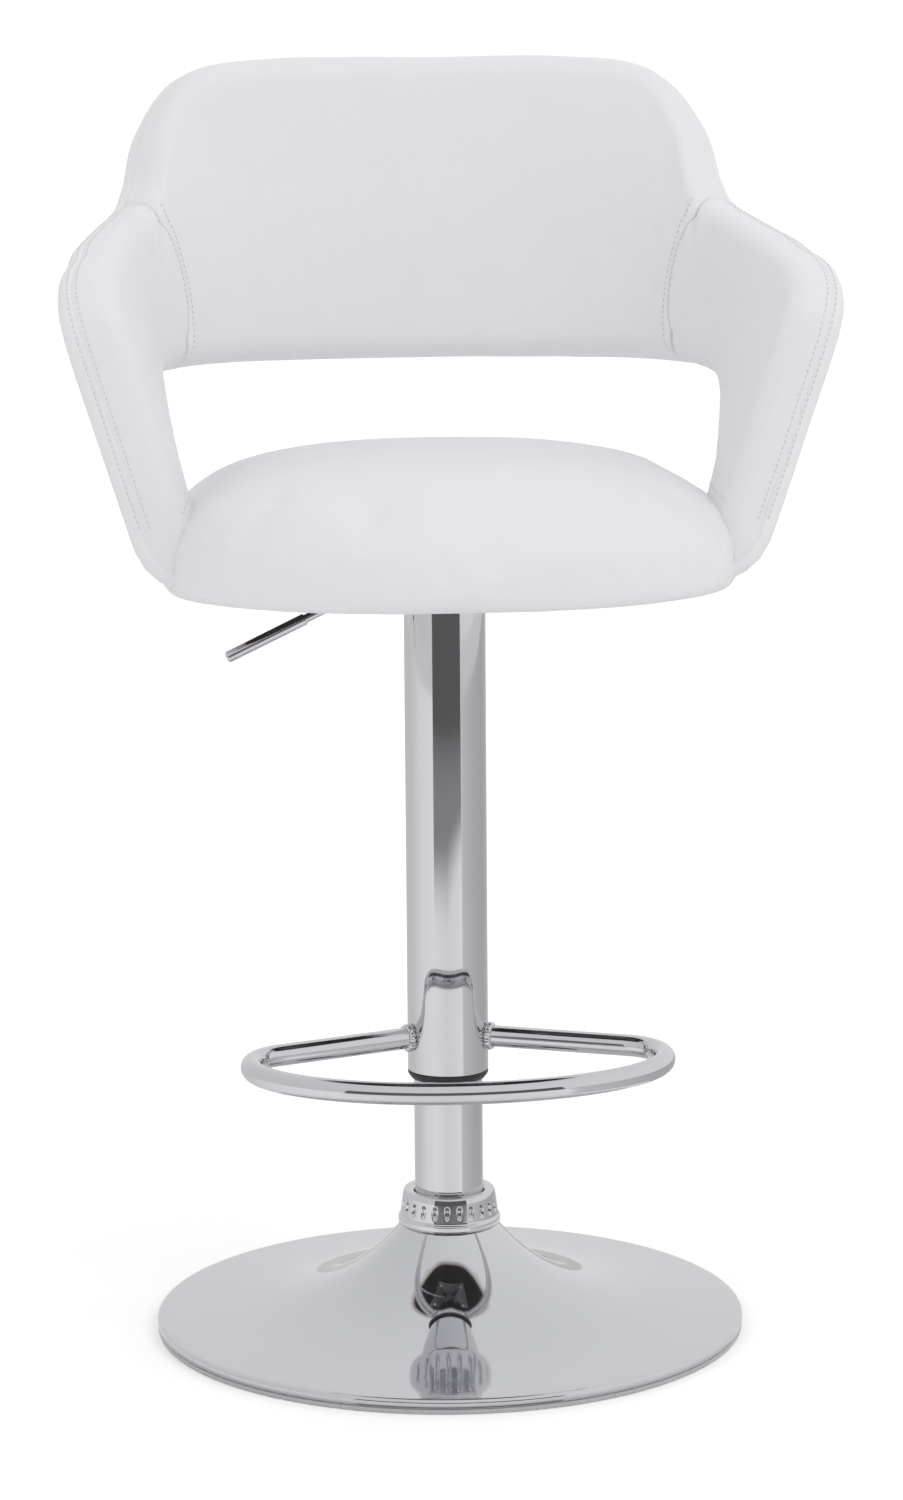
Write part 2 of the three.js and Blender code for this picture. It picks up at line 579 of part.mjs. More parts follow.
const { half, round } = BAND;
const BAND_SECTION = [
  [0, 0, half - round], [0, round * 0.8, half], [0.5, 0, half], [1, -round * 0.8, half], [1, 0, half - round],
  [1, 0, round - half], [1, -round * 0.8, -half], [0.5, 0, -half], [0, round * 0.8, -half], [0, 0, round - half],
];

// Everything inside offset n, with room to spare at both edges and at the inner face.
const spare = 5;
const insideOf = (n) => [
  [0, -spare, n], [0.5, 0, n], [1, spare, n], [1, spare, -half - spare], [0.5, 0, -half - spare], [0, -spare, -half - spare],
];

// A thin straight blade across the band at t, through both its edges and square to its middle surface.
function seamBlade(t) {
  const side = Math.sign(t);
  const [low, high] = [innerEdge, outerEdge].map((edge) => edge.getPoint(Math.abs(t)));
  const [bottom, middle, top] = [0, 0.5, 1].map((share) => {
    const at = low.clone().lerp(high, share);
    return bandMiddle(side * at.x, at.y);
  });
  const along = top.clone().sub(bottom).normalize();
  const outward = bandPoint(side * (low.x + high.x) / 2, (low.y + high.y) / 2, 1).sub(middle);
  const across = new THREE.Vector3().crossVectors(along, outward).normalize();
  const basis = new THREE.Matrix4().makeBasis(across, along, new THREE.Vector3().crossVectors(across, along));
  return new THREE.BoxGeometry(2 * FIT, top.distanceTo(bottom) + 40, 6 * half)
    .applyMatrix4(basis).translate((top.x + bottom.x) / 2, (top.y + bottom.y) / 2, (top.z + bottom.z) / 2);
}

// The inner padding: a back pad and two arm pads, parted at the seams.
function innerPads(band) {
  const inside = bandLength(-PAD_END, PAD_END, BAND.steps * PAD_END, insideOf(BAND.split - FIT));
  const seams = [-SEAM_AT, SEAM_AT].map(seamBlade);
  const padding = solid(band).intersect(solid(inside));
  const pads = seams.reduce((left, seam) => left.subtract(solid(seam)), padding).decompose();
  return pads.sort((one, other) => one.boundingBox().min[0] - other.boundingBox().min[0]).map(geometryOf);
}

function addBack() {
  const band = bandLength(-BAND.foot, BAND.foot, BAND.steps, BAND_SECTION);
  const heads = shellBoltSpots.map((spot) => {
    return sideways(disc(SHELL_BOLT.headRadius + 1, -30, 0, 12), spot, shellHeadAt(spot));
  });
  const inside = bandLength(-1, 1, BAND.steps, insideOf(BAND.split));
  place('back_shell', cut(band, inside, ...shellBoltHoles(SHELL_BOLT.radius + FIT), ...heads), leather, seat);
  const [armPadLeft, backPad, armPadRight] = innerPads(band);
  place('back_pad', backPad, leather, seat);
  place('arm_pad_left', armPadLeft, leather, seat);
  place('arm_pad_right', armPadRight, leather, seat);
  shellBoltSpots.forEach((spot, i) => {
    const screw = sideways(bolt(SHELL_BOLT, SHELL_BOLT.length), spot, shellHeadAt(spot) + FIT);
    place(`shell_bolt_${i + 1}`, screw, zinc, seat);
  });
}

// Distance from the middle of the stool at which a shell bolt's head bears, sunk below the shell's outer face.
function shellHeadAt([, y]) {
  const s = planTable.find((row) => row.s > 100 && row.p.y < y).s;
  return bandPoint(s, shellBoltLevel, BAND.half).x - SHELL_BOLT.headHeight - SHELL_BOLT.recess;
}

addBase();
addSwivelAndLift();
addShroud();
addMechanism();
addSeat();
addBack();

export default root;
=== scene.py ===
import math
from bisect import bisect_right

import bmesh
import bpy
from mathutils import Matrix, Vector, noise
from mathutils.bvhtree import BVHTree


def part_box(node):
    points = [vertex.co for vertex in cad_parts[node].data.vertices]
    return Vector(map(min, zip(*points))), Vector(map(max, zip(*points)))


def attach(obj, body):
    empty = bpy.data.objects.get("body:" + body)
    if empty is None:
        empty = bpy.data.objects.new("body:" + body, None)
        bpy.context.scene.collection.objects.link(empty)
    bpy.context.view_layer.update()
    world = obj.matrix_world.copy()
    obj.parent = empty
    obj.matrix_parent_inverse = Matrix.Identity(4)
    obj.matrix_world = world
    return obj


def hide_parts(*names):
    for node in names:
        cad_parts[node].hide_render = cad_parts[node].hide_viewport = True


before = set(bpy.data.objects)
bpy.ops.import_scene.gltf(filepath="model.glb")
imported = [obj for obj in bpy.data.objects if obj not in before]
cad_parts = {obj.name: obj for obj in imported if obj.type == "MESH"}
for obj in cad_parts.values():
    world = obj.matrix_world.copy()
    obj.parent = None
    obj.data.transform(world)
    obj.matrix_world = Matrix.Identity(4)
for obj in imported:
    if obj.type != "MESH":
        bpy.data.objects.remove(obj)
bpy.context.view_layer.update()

MM = 0.001


def lowest(node):
    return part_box(node)[0] / MM


def highest(node):
    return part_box(node)[1] / MM


# ---------------------------------------------------------------- sizes, in millimetres
DISH_RADIUS = highest("base_dish").x
DISH_RIM_HEIGHT = 11
DISH_CONE = 12.9  # steady fall from neck to rim
DISH_FLARE = 4.05  # power of the trumpet curve added to it
NECK_TOP = highest("base_dish").z
COLUMN_RADIUS = highest("column_tube").x
NECK_RADIUS = COLUMN_RADIUS + 10.5
SHROUD_RADIUS = highest("shroud_tube").x
PLATE_THICKNESS = 3
SEAT_LEVEL = highest("mechanism_plate").z - PLATE_THICKNESS  # underside of the seat plate
SEAT_HALF_WIDTH = highest("seat_cushion").x

# The back and arms: one padded strip, drawn by its plan curve and its two edges.
PLAN_LEVEL = 197  # height above SEAT_LEVEL at which the plan is drawn
FLARE = 0.00111  # growth in width per millimetre of height
LEAN = 0.105  # backward shift per millimetre of height, at the middle of the back
HALF_THICKNESS = 22
SPLIT = 8  # the outer cover starts this far outside the middle of the thickness
ROLL_START = 30  # below this height the posts roll under the cushion
ROLL_RADIUS = 23
PLAN = [
    (-0.45, 182), (0, 188), (0.45, 182), (0.815, 160), (1.06, 112),
    (1.18, 40), (1.225, -40), (1.29, -110), (1.325, -150),
]
OUTER_EDGE = [
    (0, 363), (0.177, 363), (0.301, 353), (0.38, 313), (0.423, 273), (0.472, 252), (0.59, 238),
    (0.748, 228), (0.866, 217), (0.929, 187), (0.921, 113), (0.911, 68), (0.889, 4),
]
INNER_EDGE = [
    (0, 136), (0.197, 136), (0.295, 136), (0.364, 136), (0.423, 135), (0.482, 134), (0.561, 131),
    (0.64, 124), (0.699, 113), (0.74, 95), (0.766, 78), (0.777, 61), (0.787, 4),
]
SEAM_AT = 4.7 / 12  # ends of the back-to-arm seam along the edges, 1 being the foot
SEAM_BOW = 0.052  # how far the seam bows towards the back between its ends
ARM_END = 0.992  # the arm covers run down the posts and round under the cushion


# ---------------------------------------------------------------- mesh helpers
def new_piece(name, verts, faces, material, body, slot, sharp=None):
    """A piece from points in millimetres. Edges sharper than the given angle in degrees stay sharp."""
    mesh = bpy.data.meshes.new(name)
    mesh.from_pydata([Vector(v) * MM for v in verts], [], faces)
    work = bmesh.new()
    work.from_mesh(mesh)
    bmesh.ops.recalc_face_normals(work, faces=work.faces)
    work.to_mesh(mesh)
    work.free()
    mesh.shade_smooth()
    if sharp:
        mesh.set_sharp_from_angle(angle=math.radians(sharp))
    mesh.materials.append(material)
    piece = bpy.data.objects.new(name, mesh)
    bpy.context.scene.collection.objects.link(piece)
    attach(piece, body)
    return piece


def loft(rings, closed=False):
    """Faces between rings of points. A closed loft joins its last ring to its first, an open one has caps."""
    count = len(rings[0])
    verts = [p for ring in rings for p in ring]
    faces = []
    for i in range(len(rings) if closed else len(rings) - 1):
        a = i * count
        b = (i + 1) % len(rings) * count
        for k in range(count):
            m = (k + 1) % count
            faces.append((a + k, a + m, b + m, b + k))
    if not closed:
        faces.append(tuple(range(count)))
        faces.append(tuple(range(len(verts) - count, len(verts))))
    return verts, faces


def join(*parts):
    verts, faces = [], []
    for part_verts, part_faces in parts:
        start = len(verts)
        verts.extend(part_verts)
        faces.extend(tuple(start + i for i in face) for face in part_faces)
    return verts, faces


def rounded(outline, radius, steps=5):
    """A closed outline with its corners rounded."""
    points = [Vector(p) for p in outline]
    result = []
    for i, corner in enumerate(points):
        before = points[i - 1] - corner
        after = points[(i + 1) % len(points)] - corner
        reach = min(radius, before.length * 0.45, after.length * 0.45)
        start = corner + before.normalized() * reach
        end = corner + after.normalized() * reach
        for k in range(steps + 1):
            f = k / steps
            result.append(start * (1 - f) ** 2 + corner * 2 * f * (1 - f) + end * f * f)
    return result


def lathe(outline, steps=160, shape=None):
    """A closed outline of (radius, height) turned round the Z axis.
    shape may change a radius by angle and height."""
    rings = []
    for i in range(steps):
        angle = 2 * math.pi * i / steps
        ring = []
        for radius, height in outline:
            r = radius + shape(angle, radius, height) if shape else radius
            ring.append(Vector((r * math.cos(angle), r * math.sin(angle), height)))
        rings.append(ring)
    return loft(rings, closed=True)


def sweep(path, radius, sides=24):
    """A round bar along a path. radius is a number, or a function of the share of the way along."""
    rings = []
    normal = None
    for i, point in enumerate(path):
        ahead = (path[min(i + 1, len(path) - 1)] - path[max(i - 1, 0)]).normalized()
        if normal is None:
            normal = ahead.orthogonal().normalized()
        normal = (normal - ahead * normal.dot(ahead)).normalized()
        side = ahead.cross(normal)
        r = radius(i / (len(path) - 1)) if callable(radius) else radius
        turns = [2 * math.pi * k / sides for k in range(sides)]
        rings.append([point + (normal * math.cos(a) + side * math.sin(a)) * r for a in turns])
    return loft(rings)


def spline(points, share):
    """Catmull-Rom curve through points, evenly spaced in share."""
    place = share * (len(points) - 1)
    i = min(int(place), len(points) - 2)
    f = place - i
    p = [Vector(points[max(0, min(len(points) - 1, i + k))]) for k in (-1, 0, 1, 2)]
    leave = (p[2] - p[0]) / 2
    arrive = (p[3] - p[1]) / 2
    bend = 2 * (p[1] - p[2]) + leave + arrive
    return bend * f ** 3 + (3 * (p[2] - p[1]) - 2 * leave - arrive) * f ** 2 + leave * f + p[1]


def blend(a, b, f):
    return a + (b - a) * f


def clamp(value):
    return max(0.0, min(1.0, value))


def ease(value):
    value = clamp(value)
    return value * value * (3 - 2 * value)


# ---------------------------------------------------------------- materials
class Finish:
    """A procedural surface. Its textures read the object's own coordinates, in metres."""

    def __init__(self, name, color, roughness, metallic=0.0, **sockets):
        self.material = bpy.data.materials.new(name)
        self.material.use_nodes = True
        self.material.diffuse_color = (*color, 1)
        self.tree = self.material.node_tree
        self.shader = self.tree.nodes["Principled BSDF"]
        self.color = color
        self.shader.inputs["Base Color"].default_value = (*color, 1)
        self.shader.inputs["Roughness"].default_value = roughness
        self.shader.inputs["Metallic"].default_value = metallic
        for socket, value in sockets.items():
            self.shader.inputs[socket.replace("_", " ")].default_value = value
        self.place = self.node("ShaderNodeTexCoord").outputs["Object"]
        self.normal = None

    def node(self, kind, **settings):
        made = self.tree.nodes.new(kind)
        for key, value in settings.items():
            setattr(made, key, value)
        return made

    def stretched(self, x, y, z):
        mapping = self.node("ShaderNodeMapping")
        mapping.inputs["Scale"].default_value = (x, y, z)
        self.tree.links.new(self.place, mapping.inputs["Vector"])
        return mapping.outputs["Vector"]

    def noise(self, scale, detail=3.0, place=None, distortion=0.0):
        made = self.node("ShaderNodeTexNoise")
        made.inputs["Scale"].default_value = scale
        made.inputs["Detail"].default_value = detail
        made.inputs["Distortion"].default_value = distortion
        self.tree.links.new(place or self.place, made.inputs["Vector"])
        return made.outputs["Fac"]

    def cells(self, scale, feature="F1", place=None):
        made = self.node("ShaderNodeTexVoronoi", feature=feature)
        made.inputs["Scale"].default_value = scale
        self.tree.links.new(place or self.place, made.inputs["Vector"])
        return made.outputs["Distance"]

    def edges(self, low=0.505, high=0.56):
        """1 along convex edges, 0 elsewhere."""
        pointed = self.node("ShaderNodeNewGeometry").outputs["Pointiness"]
        return self.spread(pointed, low, high, 0, 1)

    def spread(self, source, low, high, to_low, to_high):
        made = self.node("ShaderNodeMapRange")
        made.inputs["From Min"].default_value = low
        made.inputs["From Max"].default_value = high
        made.inputs["To Min"].default_value = to_low
        made.inputs["To Max"].default_value = to_high
        self.tree.links.new(source, made.inputs["Value"])
        return made.outputs["Result"]

    def sum(self, a, b, share=1.0):
        """a plus a share of b."""
        made = self.node("ShaderNodeMath", operation="MULTIPLY_ADD")
        made.inputs[1].default_value = share
        self.tree.links.new(b, made.inputs[0])
        self.tree.links.new(a, made.inputs[2])
        return made.outputs[0]

    def tint(self, mask, color):
        """Mixes another colour in where the mask is 1."""
        made = self.node("ShaderNodeMix", data_type="RGBA")
        socket = self.shader.inputs["Base Color"]
        if socket.is_linked:
            self.tree.links.new(socket.links[0].from_socket, made.inputs[6])
        else:
            made.inputs[6].default_value = (*self.color, 1)
        made.inputs[7].default_value = (*color, 1)
        self.tree.links.new(mask, made.inputs[0])
        self.tree.links.new(made.outputs[2], socket)
        return self

    def rough(self, source, low, high, to_low, to_high):
        self.tree.links.new(self.spread(source, low, high, to_low, to_high), self.shader.inputs["Roughness"])
        return self

    def bump(self, height, distance, strength=1.0):
        """Relief, with its depth in millimetres. Several add up."""
        made = self.node("ShaderNodeBump")
        made.inputs["Distance"].default_value = distance * MM
        made.inputs["Strength"].default_value = strength
        self.tree.links.new(height, made.inputs["Height"])
        if self.normal:
            self.tree.links.new(self.normal, made.inputs["Normal"])
        self.normal = made.outputs["Normal"]
        self.tree.links.new(self.normal, self.shader.inputs["Normal"])
        return self


def chrome_finish(name="chrome", color=(0.66, 0.665, 0.69)):
    """Polished plating: faint orange peel, wiping marks and duller patches."""
    made = Finish(name, color, 0.05, 1.0)
    smears = made.noise(14, 5, made.stretched(1, 1, 0.35), 0.6)
    made.rough(made.sum(smears, made.noise(900, 2), 0.25), 0.35, 0.95, 0.025, 0.085)
    made.tint(made.spread(made.noise(5, 3), 0.4, 0.75, 0, 0.35), tuple(c * 0.94 for c in color))
    made.bump(made.noise(45, 2), 0.025, 0.6)
    return made.material


def leather_finish():
    """White leatherette: pebbled grain, soft satin, paler worn edges and painted shade in the grain's pores.
    """
    made = Finish("white_leatherette", (0.81, 0.80, 0.83), 0.46, Sheen_Weight=0.08, Sheen_Roughness=0.4,
                  Coat_Weight=0.06, Coat_Roughness=0.35)
    pebbles = made.cells(780, "SMOOTH_F1")
    pores = made.cells(1500, "DISTANCE_TO_EDGE")
    folds = made.noise(130, 4, distortion=0.8)
    made.tint(made.spread(made.noise(9, 4), 0.35, 0.75, 0, 0.5), (0.775, 0.775, 0.80))
    # painted shade: the grain's pores are tinted grey where shade would fall in them
    made.tint(made.spread(pores, 0.0, 0.06, 0.22, 0), (0.66, 0.66, 0.68))
    made.tint(made.spread(made.edges(), 0, 1, 0, 0.3), (0.86, 0.86, 0.865))
    made.rough(made.sum(made.noise(24, 4), pebbles, 0.35), 0.3, 1.0, 0.38, 0.56)
    made.bump(folds, 0.12, 0.5).bump(pebbles, 0.11, 0.55).bump(pores, 0.03, 0.4)
    return made.material


def thread_finish():
    made = Finish("thread", (0.70, 0.70, 0.71), 0.6, Sheen_Weight=0.3)
    twist = made.noise(2600, 2, made.stretched(1, 1, 0.4))
    made.tint(made.spread(twist, 0.4, 0.7, 0, 0.6), (0.55, 0.55, 0.56))
    made.rough(made.noise(500, 2), 0.3, 0.8, 0.5, 0.75).bump(twist, 0.08)
    return made.material


def steel_finish(name, color, roughness, grain=(1, 1, 8)):
    """Machined or plated steel with fine tool marks."""
    made = Finish(name, color, roughness, 1.0)
    marks = made.noise(420, 4, made.stretched(*grain))
    made.tint(made.spread(made.noise(60, 4), 0.4, 0.8, 0, 0.6), tuple(c * 0.72 for c in color))
    made.tint(made.spread(made.edges(), 0, 1, 0, 0.7), tuple(min(1, c * 1.35) for c in color))
    made.rough(made.sum(marks, made.noise(90, 3), 0.5), 0.4, 1.1, roughness * 0.7, roughness * 1.4)
    made.bump(marks, 0.03)
    return made.material


def paint_finish():
    """Dark powder coat with orange peel, worn to metal along its edges."""
    made = Finish("dark_steel", (0.028, 0.029, 0.031), 0.42, 0.55)
    peel = made.cells(650, "SMOOTH_F1")
    made.tint(made.spread(made.noise(30, 5), 0.45, 0.8, 0, 0.5), (0.06, 0.06, 0.062))
    made.tint(made.spread(made.edges(), 0, 1, 0, 0.55), (0.26, 0.26, 0.27))
    made.rough(made.noise(200, 3), 0.3, 0.8, 0.34, 0.56).bump(peel, 0.06)
    return made.material


def plastic_finish():
    """Moulded black plastic with a spark-eroded texture."""
    made = Finish("black_plastic", (0.012, 0.012, 0.013), 0.4)
    grain = made.noise(1700, 3)
    made.tint(made.spread(made.edges(), 0, 1, 0, 0.5), (0.06, 0.06, 0.062))
    made.rough(made.sum(made.noise(60, 3), grain, 0.3), 0.3, 1.0, 0.28, 0.52).bump(grain, 0.035)
    return made.material


def rubber_finish():
    """Clear grey ring under the dish."""
    made = Finish("grey_rubber", (0.62, 0.63, 0.64), 0.35, IOR=1.42, Transmission_Weight=0.25)
    dust = made.noise(320, 4)
    made.tint(made.spread(dust, 0.5, 0.8, 0, 0.5), (0.5, 0.5, 0.5))
    made.rough(dust, 0.3, 0.8, 0.25, 0.5).bump(made.noise(800, 2), 0.04)
    return made.material


def plywood_finish():
    """Beech plies seen on edge, with long grain on the faces."""
    made = Finish("plywood", (0.58, 0.40, 0.22), 0.62)
    plies = made.node("ShaderNodeTexWave", wave_type="BANDS", bands_direction="Z")
    plies.inputs["Scale"].default_value = 105
    plies.inputs["Distortion"].default_value = 1.2
    made.tree.links.new(made.place, plies.inputs["Vector"])
    made.tint(made.spread(plies.outputs["Fac"], 0.3, 0.9, 0, 0.6), (0.33, 0.20, 0.10))
    grain = made.noise(60, 6, made.stretched(14, 0.8, 1))
    made.tint(made.spread(grain, 0.45, 0.75, 0, 0.5), (0.42, 0.27, 0.14))
    made.rough(grain, 0.3, 0.8, 0.5, 0.75).bump(grain, 0.12)
    return made.material


def cloth_finish():
    """Black spunbond dust cover with its pressed diamond pattern."""
    made = Finish("black_cloth", (0.018, 0.018, 0.019), 0.92, Sheen_Weight=0.15)
    fibres = made.noise(1100, 5, made.stretched(1, 2.4, 1), 1.2)
    points = made.cells(420)
    made.tint(made.spread(fibres, 0.5, 0.8, 0, 0.6), (0.05, 0.05, 0.052))
    made.rough(points, 0, 0.6, 0.75, 0.95).bump(fibres, 0.1).bump(points, 0.12)
    return made.material


CHROME = chrome_finish()
LEATHER = leather_finish()
THREAD = thread_finish()
RUBBER = rubber_finish()
PLASTIC = plastic_finish()
CAD_FINISHES = {
    "chrome": CHROME,
    "white_leatherette": LEATHER,
    "grey_rubber": RUBBER,
    "dark_steel": paint_finish(),
    "steel": steel_finish("steel", (0.42, 0.43, 0.45), 0.34),
    "zinc": steel_finish("zinc", (0.52, 0.54, 0.57), 0.3, (1, 1, 1)),
    "black_plastic": PLASTIC,
    "black_cloth": cloth_finish(),
    "plywood": plywood_finish(),
}


# ---------------------------------------------------------------- camera, light and floor
CAMERA_DISTANCE = 3.0
CAMERA_HEIGHT = 0.9454
CAMERA_SIDE = math.radians(-5)  # the seat is seen a little from its left
CAMERA_PITCH = 0.168
CAMERA_YAW = -0.00145
CAMERA_ROLL = math.radians(-0.44)


def add_camera():
    data = bpy.data.cameras.new("camera")
    data.lens = 99.05
    data.sensor_width = 36
    camera = bpy.data.objects.new("camera", data)
    around = Matrix.Rotation(CAMERA_SIDE + CAMERA_YAW, 4, "Z")
    turn = around @ Matrix.Rotation(math.pi / 2 - CAMERA_PITCH, 4, "X")
    place = Vector((math.sin(CAMERA_SIDE), -math.cos(CAMERA_SIDE), 0)) * CAMERA_DISTANCE
    place.z = CAMERA_HEIGHT
    camera.matrix_world = Matrix.Translation(place) @ turn @ Matrix.Rotation(CAMERA_ROLL, 4, "Z")
    bpy.context.scene.collection.objects.link(camera)
    bpy.context.scene.camera = camera


def add_light(name, place, target, size, power):
    data = bpy.data.lights.new(name, "AREA")
    data.shape = "RECTANGLE"
    data.size, data.size_y = size
    data.energy = power
    light = bpy.data.objects.new(name, data)
    aim = (Vector(target) - Vector(place)).to_track_quat("-Z", "Y")
    light.matrix_world = Matrix.Translation(place) @ aim.to_matrix().to_4x4()
    light.visible_glossy = False
    bpy.context.scene.collection.objects.link(light)


def stage_piece(name, verts, faces, material):
    mesh = bpy.data.meshes.new(name)
    mesh.from_pydata(verts, [], faces)
    mesh.materials.append(material)
    piece = bpy.data.objects.new(name, mesh)
    bpy.context.scene.collection.objects.link(piece)
    return piece


def floor_material():
    """Pale matt floor, lit up towards its far edge so that it runs into the background."""
    made = Finish("floor", (0.93, 0.93, 0.93), 0.9, Specular_IOR_Level=0.1, Emission_Color=(1, 1, 1, 1))
    made.tint(made.spread(made.noise(3, 3), 0.3, 0.7, 0, 1), (0.94, 0.94, 0.94))
    length = made.node("ShaderNodeVectorMath", operation="LENGTH")
    made.tree.links.new(made.place, length.inputs[0])
    glow = made.spread(length.outputs["Value"], 0.35, 2.0, FLOOR_GLOW[0], FLOOR_GLOW[1])
    seen = made.node("ShaderNodeMath", operation="MULTIPLY")
    made.tree.links.new(glow, seen.inputs[0])
    made.tree.links.new(made.node("ShaderNodeLightPath").outputs["Is Camera Ray"], seen.inputs[1])
    made.tree.links.new(seen.outputs[0], made.shader.inputs["Emission Strength"])
    made.bump(made.noise(200, 2), 0.05)
    return made.material


def reflected_material():
    """Emission that follows the brightness stored on the points of a card."""
    material = bpy.data.materials.new("reflected_studio")
    material.use_nodes = True
    tree = material.node_tree
    tree.nodes.remove(tree.nodes["Principled BSDF"])
    emission = tree.nodes.new("ShaderNodeEmission")
    level = tree.nodes.new("ShaderNodeVertexColor")
    level.layer_name = "level"
    tree.links.new(level.outputs["Color"], emission.inputs["Color"])
    tree.links.new(emission.outputs[0], tree.nodes["Material Output"].inputs["Surface"])
    return material


# What polished metal sees of the studio: the lit floor round the stool, greyer further out and on the right,
# and the dark end of the room. These cards show in reflections only.
DARK_FROM = -36  # degrees round from the camera's side
DARK_TO = 43
# degrees round and brightness
STUDIO_SIDES = [
    (-180, 0.62), (-116, 0.74), (-75, 0.93), (-40, 1.0), (0, 0.88),
    (42, 0.98), (46, 0.68), (86, 0.57), (122, 0.52), (180, 0.62),
]
STUDIO_REACH = 7.0
DARK_WALL = 2.6


def studio_level(degrees, distance):
    """Brightness of the floor, seen in reflections."""
    after = next(i for i, stop in enumerate(STUDIO_SIDES) if stop[0] >= degrees and i)
    (a, one), (b, other) = STUDIO_SIDES[after - 1], STUDIO_SIDES[after]
    side = blend(one, other, (degrees - a) / (b - a))
    if not DARK_FROM < degrees < DARK_TO:
        return side
    dark = blend(0.30, 0.13, ease((distance - 2.8) / 2.2))
    start = blend(1.1, 1.65, clamp(degrees / DARK_TO))
    return blend(side, dark, ease((distance - start) / 0.95))


def add_card(name, turns, distances, heights):
    """A card round the column, with a brightness at each point."""
    toward = -90 + math.degrees(CAMERA_SIDE)
    verts, levels, faces = [], [], []
    for distance, height in zip(distances, heights):
        for degrees in turns:
            angle = math.radians(toward + degrees)
            verts.append((math.cos(angle) * distance, math.sin(angle) * distance, height))
            levels.append(studio_level(degrees, distance))
    count = len(turns)
    for row in range(len(distances) - 1):
        first = row * count
        faces += [
            (first + i, first + i + 1, first + count + i + 1, first + count + i)
            for i in range(count - 1)
        ]
    card = stage_piece(name, verts, faces, reflected_material())
    colors = card.data.color_attributes.new("level", "FLOAT_COLOR", "POINT")
    for item, level in zip(colors.data, levels):
        item.color = (level, level * 0.975, level * 0.98, 1)
    card.visible_camera = False
    card.visible_diffuse = False
    card.visible_shadow = False


def add_reflected_studio():
    edge = 0.02
    distances = [0.3, 0.8] + [1.0 + 0.1 * i for i in range(18)] + [3.5, 5.0, STUDIO_REACH]
    turns = [-180 + 3 * i for i in range(121)] + [
        DARK_FROM - edge, DARK_FROM + edge, DARK_TO - edge, DARK_TO + edge,
    ]
    add_card("reflected_floor", sorted(turns), distances, [0.002] * len(distances))
    dark = [DARK_FROM + edge + (DARK_TO - DARK_FROM - 2 * edge) * i / 20 for i in range(21)]
    add_card("reflected_wall", dark, [STUDIO_REACH, STUDIO_REACH], [0.0, DARK_WALL])


STUDIO_LEFT = 0.72  # brightness of the studio's walls and ceiling
STUDIO_RIGHT = 0.90
FLOOR_GLOW = (0.19, 0.36)  # added brightness of the floor near the stool and far from it


def add_studio():
    scene = bpy.context.scene
    scene.view_settings.view_transform = "Standard"
    world = bpy.data.worlds.new("studio")
    world.use_nodes = True
    tree = world.node_tree
    background = tree.nodes["Background"]
    background.inputs["Color"].default_value = (1, 1, 1, 1)
    seen = tree.nodes.new("ShaderNodeLightPath")
    direction = tree.nodes.new("ShaderNodeSeparateXYZ")
    tree.links.new(tree.nodes.new("ShaderNodeTexCoord").outputs["Generated"], direction.inputs[0])
    sides = tree.nodes.new("ShaderNodeMapRange")
    for socket, value in (
        ("From Min", -1), ("From Max", 1), ("To Min", STUDIO_LEFT), ("To Max", STUDIO_RIGHT),
    ):
        sides.inputs[socket].default_value = value
    tree.links.new(direction.outputs["X"], sides.inputs["Value"])
    strength = tree.nodes.new("ShaderNodeMix")
    strength.inputs["B"].default_value = 1.05
    tree.links.new(seen.outputs["Is Camera Ray"], strength.inputs["Factor"])
    tree.links.new(sides.outputs["Result"], strength.inputs["A"])
    tree.links.new(strength.outputs["Result"], background.inputs["Strength"])
    scene.world = world
    half = 14
    corners = [(-half, -half, 0), (half, -half, 0), (half, half, 0), (-half, half, 0)]
    stage_piece("floor", corners, [(0, 1, 2, 3)], floor_material())
    add_reflected_studio()
    add_light("key_light", (1.8, -1.9, 2.9), (0, 0, 0.6), (1.8, 1.8), 17)
    add_light("fill_light", (-2.1, -1.2, 2.4), (0, 0, 0.6), (1.6, 1.6), 7)
    add_light("rear_light", (0.3, 2.4, 2.8), (0, 0, 0.6), (2.0, 1.4), 8)


# ---------------------------------------------------------------- base
def dish_height(radius):
    share = 1 - clamp((radius - NECK_RADIUS) / (DISH_RADIUS - NECK_RADIUS))
    steady = DISH_RIM_HEIGHT + DISH_CONE * share
    return steady + (NECK_TOP - DISH_RIM_HEIGHT - DISH_CONE) * share ** DISH_FLARE


def add_dish():
    """Spun steel dish: trumpet top, a rolled bead at the rim and a turned-in lip."""
    bottom = lowest("base_dish").z
    sheet = 1.6
    top = []
    steps = 90
    for i in range(steps + 1):
        r = NECK_RADIUS + (DISH_RADIUS - 5 - NECK_RADIUS) * (i / steps) ** 1.35
        top.append((r, dish_height(r)))
    bead = DISH_RIM_HEIGHT - 3.2
    rim = [(DISH_RADIUS - 3.2 + 3.2 * math.sin(a), bead + 3.2 * math.cos(a)) for a in
           (math.radians(d) for d in range(10, 130, 15))]
    lip = [(DISH_RADIUS - 0.9, bead - 2.6), (DISH_RADIUS - 0.2, bottom + 0.9), (DISH_RADIUS - 0.9, bottom)]
    inside = [
        (DISH_RADIUS - 11, bottom), (DISH_RADIUS - 11, bottom + sheet), (DISH_RADIUS - 3.4, bottom + sheet),
    ]
    under = [(r - sheet, z - sheet) for r, z in reversed(top[::6]) if r < DISH_RADIUS - 8]
    mouth = [(COLUMN_RADIUS + 0.3, NECK_TOP - 2 * sheet), (COLUMN_RADIUS + 0.3, NECK_TOP)]
    outline = top + rim + lip + inside + under + mouth
    dish = new_piece("dish", *lathe(outline, 256), CHROME, "base", "chrome", sharp=40)
    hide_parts("base_dish")


